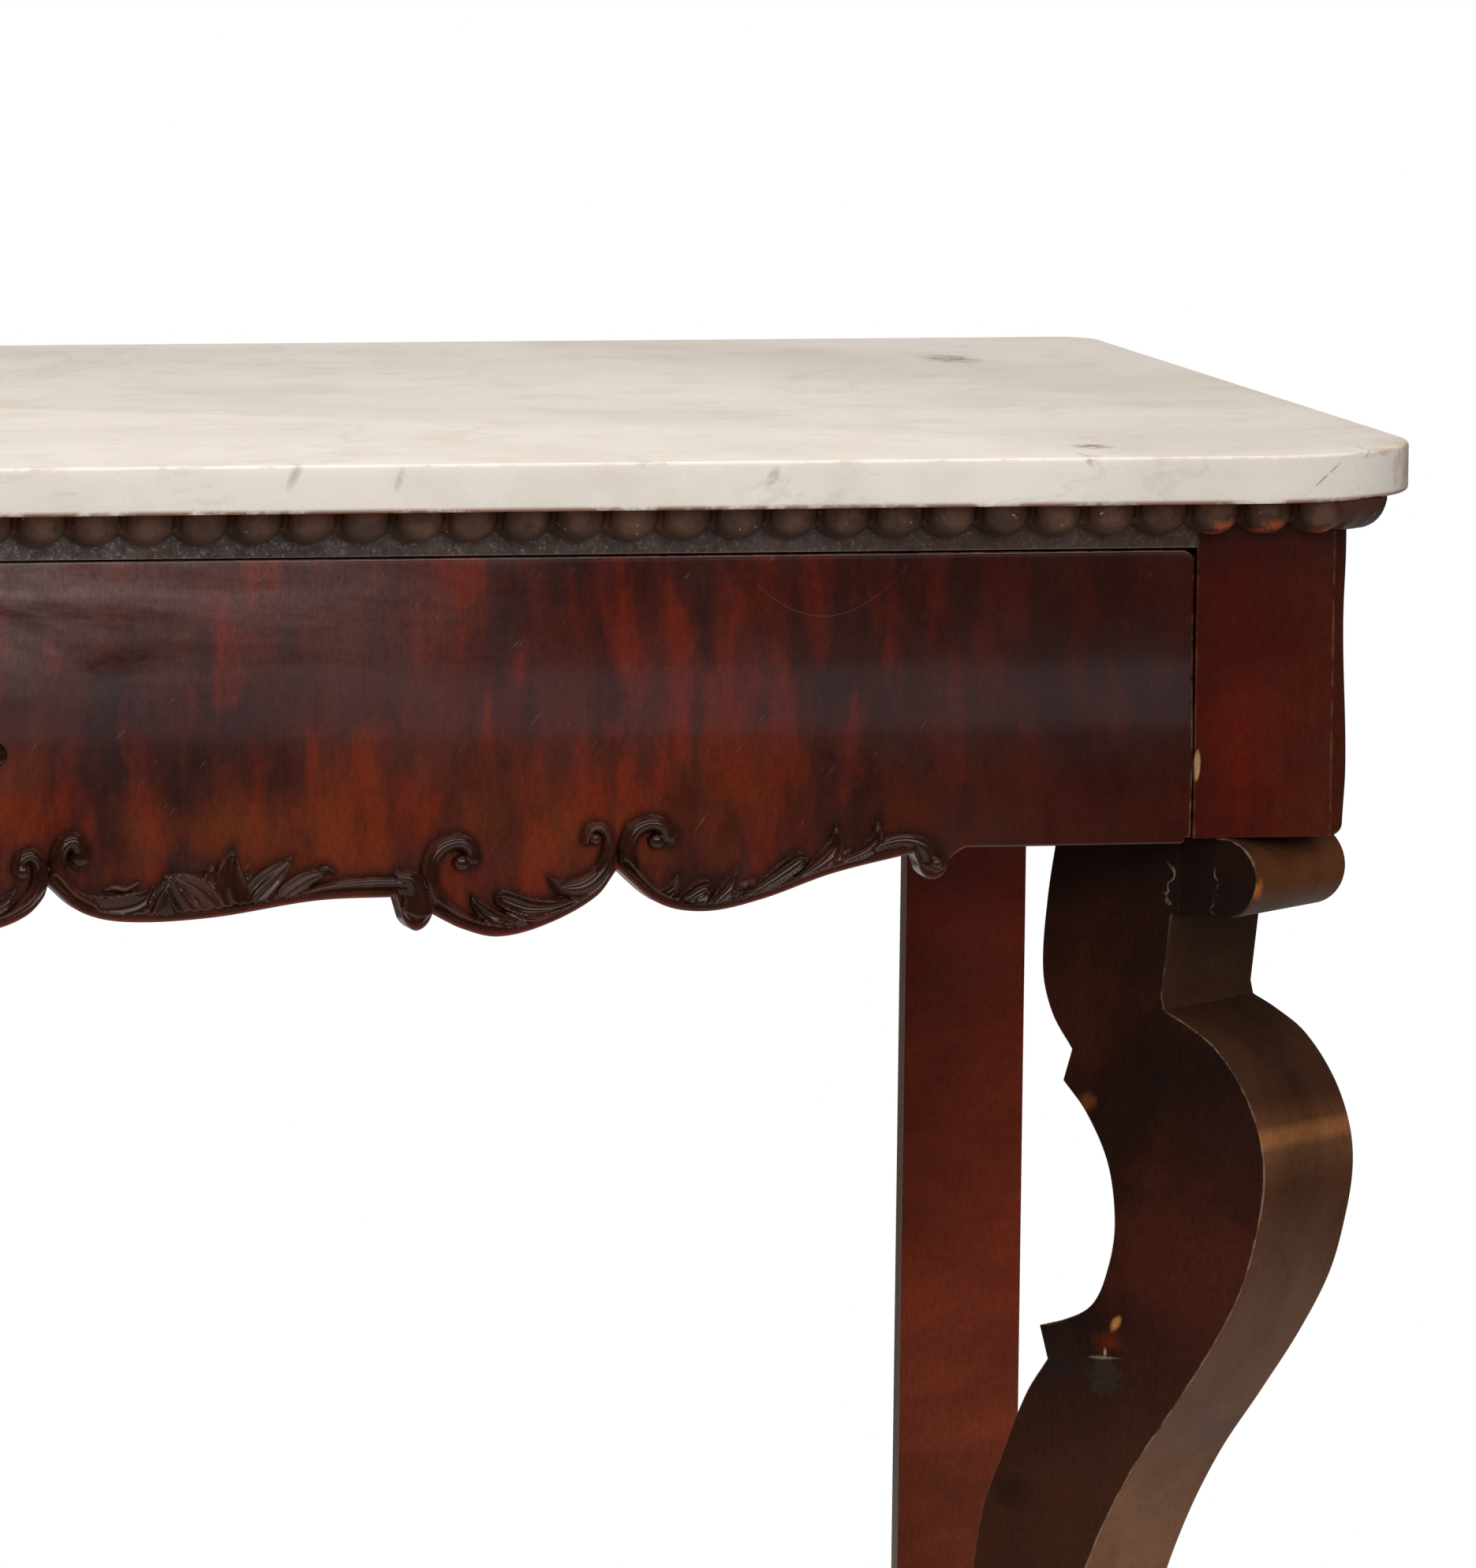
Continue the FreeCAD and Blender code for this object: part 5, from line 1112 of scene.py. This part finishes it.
faces = ring_faces(*rings.shape[:2])
worn = np.clip(np.concatenate([high, high[-1:]]) / 6, 0, 1) * 0.5
rosette = piece("rosette", rings, faces, "carved_mahogany", "drawer", 60, wear=worn)
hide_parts("drawer_rosette")

# %% [markdown]
# ## S-scroll legs
# Each front leg is a thick plank sawn to an S-scroll and set on the diagonal.  Its belly
# swells forward under a rolled nose, sweeps back, and ends in a scroll on the platform.  The
# saw leaves one outline through the whole thickness, so an eased plank is the true form.

# %% Legs
def on_leg(back, up):
    """Shares of the leg's reach and height, as (back, level) in the plane of its plank."""
    return (back * LEG_REACH, PLATFORM_TOP + up * (CASE_LOW - PLATFORM_TOP))


def run(*points):
    """A smooth line through places on the leg."""
    return smooth([on_leg(*point) for point in points], 3.0)


TOE_RADIUS = 40.0
toe = arc((TOE_RADIUS, PLATFORM_TOP + TOE_RADIUS), TOE_RADIUS, 55, 270, 40)
leg_loop = chain(
    # the seat of the rolled nose
    [(40, 721.5), (40, 685.4), (44.6, 684.6), on_leg(0.333, 0.877)],
    # the front: neck, belly and sweep
    run((0.323, 0.867), (0.244, 0.858), (0.135, 0.841), (0.03, 0.809), (-0.030, 0.774), (-0.044, 0.742),
        (-0.020, 0.704), (0.034, 0.660), (0.140, 0.613), (0.272, 0.566), (0.425, 0.513), (0.556, 0.451),
        (0.640, 0.390), (0.655, 0.320), (0.595, 0.245), (0.490, 0.175), (62.94 / LEG_REACH, 0.1189)),
    toe,
    # the heel
    run((0.800, 0), (0.715, 0.060), (0.735, 0.115), (0.800, 0.165)),
    # the back, up to the lower cusp
    run((0.800, 0.165), (0.925, 0.230), (0.985, 0.300), (1, 0.370), (0.985, 0.430), (0.950, 0.480),
        (0.878, 0.525), (0.800, 0.569), (0.726, 0.596)),
    # the hollow between the cusps
    run((0.756, 0.621), (0.690, 0.625), (0.570, 0.640), (0.510, 0.672), (0.492, 0.705), (0.520, 0.748),
        (0.600, 0.785), (0.684, 0.808)),
    # from the upper cusp to the case
    run((0.654, 0.832), (0.727, 0.858), (0.763, 0.890), (0.750, 0.945), (0.714, 1)),
)
ROLL_RADIUS, ROLL_BACK = 18.7, 44.0
nose = arc((ROLL_RADIUS, CASE_LOW - ROLL_RADIUS), ROLL_RADIUS, 90, 270, 24)
roll_loop = chain([(ROLL_BACK, CASE_LOW - 2 * ROLL_RADIUS), (ROLL_BACK, CASE_LOW)], nose)


def on_diagonal(sign, half, front, setback):
    """(back, up, across) at a front corner: back runs inward along the diagonal."""
    share = math.sqrt(0.5)
    start = (half - setback * share, front + setback * share)

    def place(points):
        back, up, across = np.moveaxis(points, -1, 0)
        x = start[0] - back * share + across * share
        y = start[1] + back * share + across * share
        return np.stack([sign * x, y, up], axis=-1)

    return place


# %% [markdown]
# The rolled nose is a piece of its own, a hair narrower than the leg, so that its joint shows.
# The pilasters at the wall are plain boards.

# %% Legs in place
PILASTER_IN, PILASTER_THICK, SHY = 600.0, 13.0, 0.1
# Levels between which the rims' wear changes from the first share to the second.
LEG_RUB, NOSE_RUB = ((630, 660), (1.0, 0.4)), ((690, 715), (0.35, 0.9))
half = LEG_WIDTH / 2
for side, sign in SIDES:
    place = on_diagonal(sign, CASE_HALF, CASE_FRONT, LEG_SETBACK)
    rub = np.interp(leg_loop[:, 1], *LEG_RUB)
    leg = plank(f"scroll_leg_{side}", leg_loop, -half, half, 1.0, "leg_mahogany", place, 3, rub)
    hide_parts(f"front_leg_{side}")
    rub = np.interp(roll_loop[:, 1], *NOSE_RUB) * (roll_loop[:, 0] < ROLL_BACK - 1)
    low, high = SHY - half, half - SHY
    roll = plank(f"rolled_nose_{side}", roll_loop, low, high, 1.2, "leg_mahogany", place, 3, rub)
    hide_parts(f"leg_roll_{side}")
    x, y = sorted((sign * PILASTER_IN, sign * CASE_HALF)), (REAR_FRONT, REAR_FRONT + PILASTER_THICK)
    shaft = board(f"pilaster_{side}", x, y, (PLATFORM_TOP, CASE_LOW), 0.8, "pilaster_mahogany")
    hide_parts(f"rear_pilaster_{side}")

# %% [markdown]
# ## Platform and feet
# The platform ties the four legs together near the floor.  Its front sweeps back in an ogee
# from cut corners, and a frame of rails and blocks stands a little inside its edge.

# %% Platform
PLATFORM_HALF, PLATFORM_FRONT, CANT, LAND = 682.0, -310.0, 70.0, 72.0
RECESS, SWEEP = 70.0, 140.0
PLINTH_IN, PLINTH_BACK, REAR_PLINTH = 560.0, -188.0, 230.0
RAIL_THICK, REAR_PLINTH_WIDE = 22.0, 80.0
NO_CANT = 0.01


def platform_loop(half, front, cant, land_end):
    """Half plan: straight land, an ogee of two equal arcs, then the straight middle."""
    turn = 2 * math.atan(RECESS / SWEEP)
    radius = SWEEP / 2 / math.sin(turn)
    t = np.linspace(0, turn, 14)
    ogee = radius * np.column_stack([np.sin(t), 1 - np.cos(t)])
    first = (land_end, front) + ogee * MIRROR
    second = (land_end - SWEEP, front + RECESS) - (ogee * MIRROR)[::-1]
    side = np.vstack([[(half, CASE_BACK), (half, front + cant), (half - cant, front)], first, second])
    return chain(side, (side * MIRROR)[::-1])


land_end = PLATFORM_HALF - CANT - LAND
loop = platform_loop(PLATFORM_HALF, PLATFORM_FRONT, CANT, land_end)
top = plank("platform_top", loop, PLATFORM_LOW, PLATFORM_TOP, 3.0, "base_mahogany", calm=5)
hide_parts("platform_board")

# The front rail is the frame's own swept line between the blocks, with a thickness.
swept = platform_loop(PLINTH_IN, FRAME_FRONT, NO_CANT, land_end)
near = swept[(swept[:, 1] < FRAME_FRONT + RECESS + 1) & (np.abs(swept[:, 0]) < PLINTH_IN - 0.1)]
near = near[np.argsort(near[:, 0])]
near = np.vstack([[(-PLINTH_IN, FRAME_FRONT)], near, [(PLINTH_IN, FRAME_FRONT)]])
loop = chain(near, (near + (0, RAIL_THICK))[::-1])
rail = plank("platform_front_rail", loop, FRAME_LOW, PLATFORM_LOW, 0.4, "base_mahogany", calm=2)
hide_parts("platform_rail_front")

# %% [markdown]
# The frame's cut corner keeps the same overhang as its straight sides, so its own cut is
# shorter than the board's: by two overhangs less the diagonal of one.

# %% Frame under the platform
FRAME_CANT = CANT - (PLATFORM_HALF - FRAME_HALF) * (2 - math.sqrt(2))
levels = FRAME_LOW, PLATFORM_LOW
for side, sign in SIDES:
    corners = [(PLINTH_IN, FRAME_FRONT), (FRAME_HALF - FRAME_CANT, FRAME_FRONT),
               (FRAME_HALF, FRAME_FRONT + FRAME_CANT), (FRAME_HALF, PLINTH_BACK), (PLINTH_IN, PLINTH_BACK)]
    loop = rounded([(sign * x, y) for x, y in corners], 0.8, 4)
    block = plank(f"plinth_{side}", loop, *levels, 0.6, "base_mahogany")
    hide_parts(f"plinth_block_{side}")
    x = sorted((sign * (FRAME_HALF - RAIL_THICK), sign * FRAME_HALF))
    rail = board(f"platform_side_{side}", x, (PLINTH_BACK, REAR_PLINTH), levels, 0.6, "base_mahogany")
    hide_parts(f"platform_rail_{side}")
    x = sorted((sign * (FRAME_HALF - REAR_PLINTH_WIDE), sign * FRAME_HALF))
    block = board(f"rear_plinth_{side}", x, (REAR_PLINTH, CASE_BACK), levels, 0.6, "base_mahogany")
    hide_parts(f"rear_plinth_block_{side}")

# %% [markdown]
# ### Feet
# Scroll feet stand under the frame, in front on the diagonal and square behind.  One outline
# serves all four: a straight fascia, a crease, a round scroll and a hollow back.

# %% Feet
SCROLL, CREASE, FOOT_LONG, FOOT_HALF, FASCIA, SETBACK = 19.0, 112, 74.0, 35.0, 42.0, 5.0
crease = SCROLL * (1 + math.cos(math.radians(CREASE))), SCROLL * (1 + math.sin(math.radians(CREASE)))
bow = 1 - math.sqrt(0.5)
hollow = ((crease[0] + SCROLL * bow) / 2, FASCIA - SCROLL * bow / 8)
foot_loop = chain(
    [(0, FRAME_LOW), (0, FASCIA)],
    smooth([(0, FASCIA), hollow, crease], 1.5),
    arc((SCROLL, SCROLL), SCROLL, CREASE, 270, 24),
    smooth([(FOOT_LONG - SCROLL, 0), (FOOT_LONG - SCROLL * bow, FASCIA * bow), (FOOT_LONG, FASCIA)], 2.0),
    [(FOOT_LONG, FRAME_LOW)],
)


def square(sign):
    """(back, up, across) under a rear block: back runs to the wall."""

    def place(points):
        back, up, across = np.moveaxis(points, -1, 0)
        x = sign * (FRAME_HALF - REAR_PLINTH_WIDE / 2) + across
        return np.stack([x, REAR_PLINTH + SETBACK + back, up], axis=-1)

    return place


def foot(name, place):
    """One scroll foot."""
    return plank(name, foot_loop, -FOOT_HALF, FOOT_HALF, 1.5, "base_mahogany", place, 3)


for side, sign in SIDES:
    place = on_diagonal(sign, FRAME_HALF, FRAME_FRONT, FRAME_CANT * math.sqrt(0.5) + SETBACK)
    front_foot = foot(f"scroll_foot_{side}", place)
    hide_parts(f"foot_front_{side}")
    rear_foot = foot(f"rear_scroll_foot_{side}", square(sign))
    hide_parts(f"foot_rear_{side}")

# %% [markdown]
# ## Pieces kept as sawn
# Boards that nobody sees are left as they came from the saw: they keep their plain solids
# and take the finish of their own slot.

# %% Plain pieces
AS_SAWN = {
    "secondary_wood": ("back_board", "bottom_board", "case_glue_blocks", "platform_rail_back"),
    "secondary_deep": ("marble_bearer",),
    "secondary_upright": ("rear_post",),
    "frieze_mahogany": ("rear_corner_block",),
    "drawer_lining": ("drawer_stop", "drawer_back", "drawer_bottom"),
    "drawer_lining_deep": ("drawer_runner", "drawer_guide", "drawer_side", "drawer_muntin"),
}
for node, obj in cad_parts.items():
    for finish, starts in AS_SAWN.items():
        if node.startswith(starts):
            for slot in obj.material_slots:
                slot.material = finishes[finish]
            print(node, "wears", finish)

# %% [markdown]
# ## Studio
# The table stands on a white disc that fades at its rim into a white surround.  The surround
# looks white to the camera but gives the wood little light: the strength of the world depends
# on the kind of ray, so the lamps alone shape the table.

# %% Floor and world
FLOOR_RADIUS, FLOOR_SIDES, FADE = 2.3, 96, (1.4, 2.2)
world = bpy.data.worlds.new("studio")
bpy.context.scene.world = world
world.use_nodes = True
tree = world.node_tree
ray = tree.nodes.new("ShaderNodeLightPath").outputs
strength = add_node(tree, "ShaderNodeMix", {0: ray["Is Diffuse Ray"], 2: 0.04, 3: 0.26})
strength = add_node(tree, "ShaderNodeMix", {0: ray["Is Camera Ray"], 2: strength, 3: 1.0})
background = tree.nodes["Background"]
background.inputs["Color"].default_value = (1, 1, 1, 1)
tree.links.new(strength, background.inputs["Strength"])

r = Recipe("floor_white")
spread = r.add("ShaderNodeVectorMath", {0: r.where}, "Value", operation="LENGTH")
glow = r.add("ShaderNodeEmission", {"Color": (1, 1, 1, 1), "Strength": 1.0})
r.shade(Base_Color=(0.82, 0.82, 0.82, 1), Roughness=0.9)
seen = r.add("ShaderNodeLightPath", {}, "Is Camera Ray")
share = r.times(r.between(spread, *FADE), seen)
blend = r.add("ShaderNodeMixShader", {0: share, 1: r.shader.outputs[0], 2: glow})
r.tree.links.new(blend, r.tree.nodes["Material Output"].inputs["Surface"])


def stand(name, data, axes=np.eye(3), place=(0, 0, 0)):
    """An object in the scene with its own axes, as unit vectors, and its place."""
    obj = bpy.data.objects.new(name, data)
    bpy.context.scene.collection.objects.link(obj)
    columns = np.column_stack(axes)
    obj.matrix_world = Matrix([[*columns[n], place[n]] for n in range(3)] + [[0, 0, 0, 1]])
    return obj


turn = np.linspace(0, 2 * math.pi, FLOOR_SIDES, endpoint=False)
disc = np.column_stack([FLOOR_RADIUS * np.cos(turn), FLOOR_RADIUS * np.sin(turn), 0 * turn - MM])
mesh = bpy.data.meshes.new("floor")
mesh.from_pydata(disc.tolist(), [], [list(range(FLOOR_SIDES))])
mesh.materials.append(finishes["floor_white"])
floor = stand("floor", mesh)

# %% [markdown]
# Two large soft lights, above and in front, give even light.  A small lamp high on the left
# leaves a glint, a warm strip at the right lights the sides of the legs, and a long low strip
# in front draws a cool line along the drawer's swell.

# %% Lights
def softbox(name, place, target, width, height, power, tint=(1, 1, 1)):
    """A rectangular light that faces its target."""
    light = bpy.data.lights.new(name, "AREA")
    light.shape = "RECTANGLE"
    light.size, light.size_y, light.energy, light.color = width, height, power, tint
    aim = np.array(target) - np.array(place)
    aim = aim / np.linalg.norm(aim)
    side = np.cross(aim, (0, 0, 1))
    side = side / np.linalg.norm(side)
    print(f"{name}: {power} W")
    return stand(name, light, (side, np.cross(side, aim), -aim), place)


WARM, AMBER, BLUE = (1.0, 0.985, 0.965), (1.0, 0.80, 0.62), (0.8, 0.88, 1.0)
softbox("overhead", (0.0, -0.3, 3.4), (0, 0, 0.8), 3.6, 2.6, 91, WARM)
softbox("front", (0.4, -5.4, 2.7), (0.1, 0, 0.7), 5.4, 2.2, 152)
softbox("window_glint", (-2.5, -4.5, 3.6), (0.25, -0.3, 0.72), 0.24, 0.24, 12)
softbox("right_strip", (5.4, 0.9, 1.10), (0.6, -0.25, 0.6), 1.8, 0.26, 4.5, AMBER)
softbox("front_strip", (2.2, -8.4, 0.69), (0.3, -0.28, 0.78), 4.4, 0.30, 2.6, BLUE)

# %% [markdown]
# ## Camera
# A long lens looks from a little to the left of the table and well above the marble.  Its
# axes are worked out from three turns: yaw to the right, pitch down and roll.

# %% Camera
YAW, PITCH, ROLL = (math.radians(angle) for angle in (14.144, 6.174, 0.727))
LENS, SENSOR, PLACE = 422.634, 36.0, (-1.6554, -8.3353, 1.6478)
forward = np.array([math.sin(YAW) * math.cos(PITCH), math.cos(YAW) * math.cos(PITCH), -math.sin(PITCH)])
level = np.array([math.cos(YAW), -math.sin(YAW), 0])
above = np.cross(level, forward)
right = level * math.cos(ROLL) + above * math.sin(ROLL)
above = above * math.cos(ROLL) - level * math.sin(ROLL)
lens = bpy.data.cameras.new("camera")
lens.lens, lens.sensor_width, lens.clip_end = LENS, SENSOR, 60.0
camera = stand("camera", lens, (right, above, -forward), PLACE)
bpy.context.scene.camera = camera
bpy.context.scene.view_settings.view_transform = "Standard"
print("camera at", PLACE)
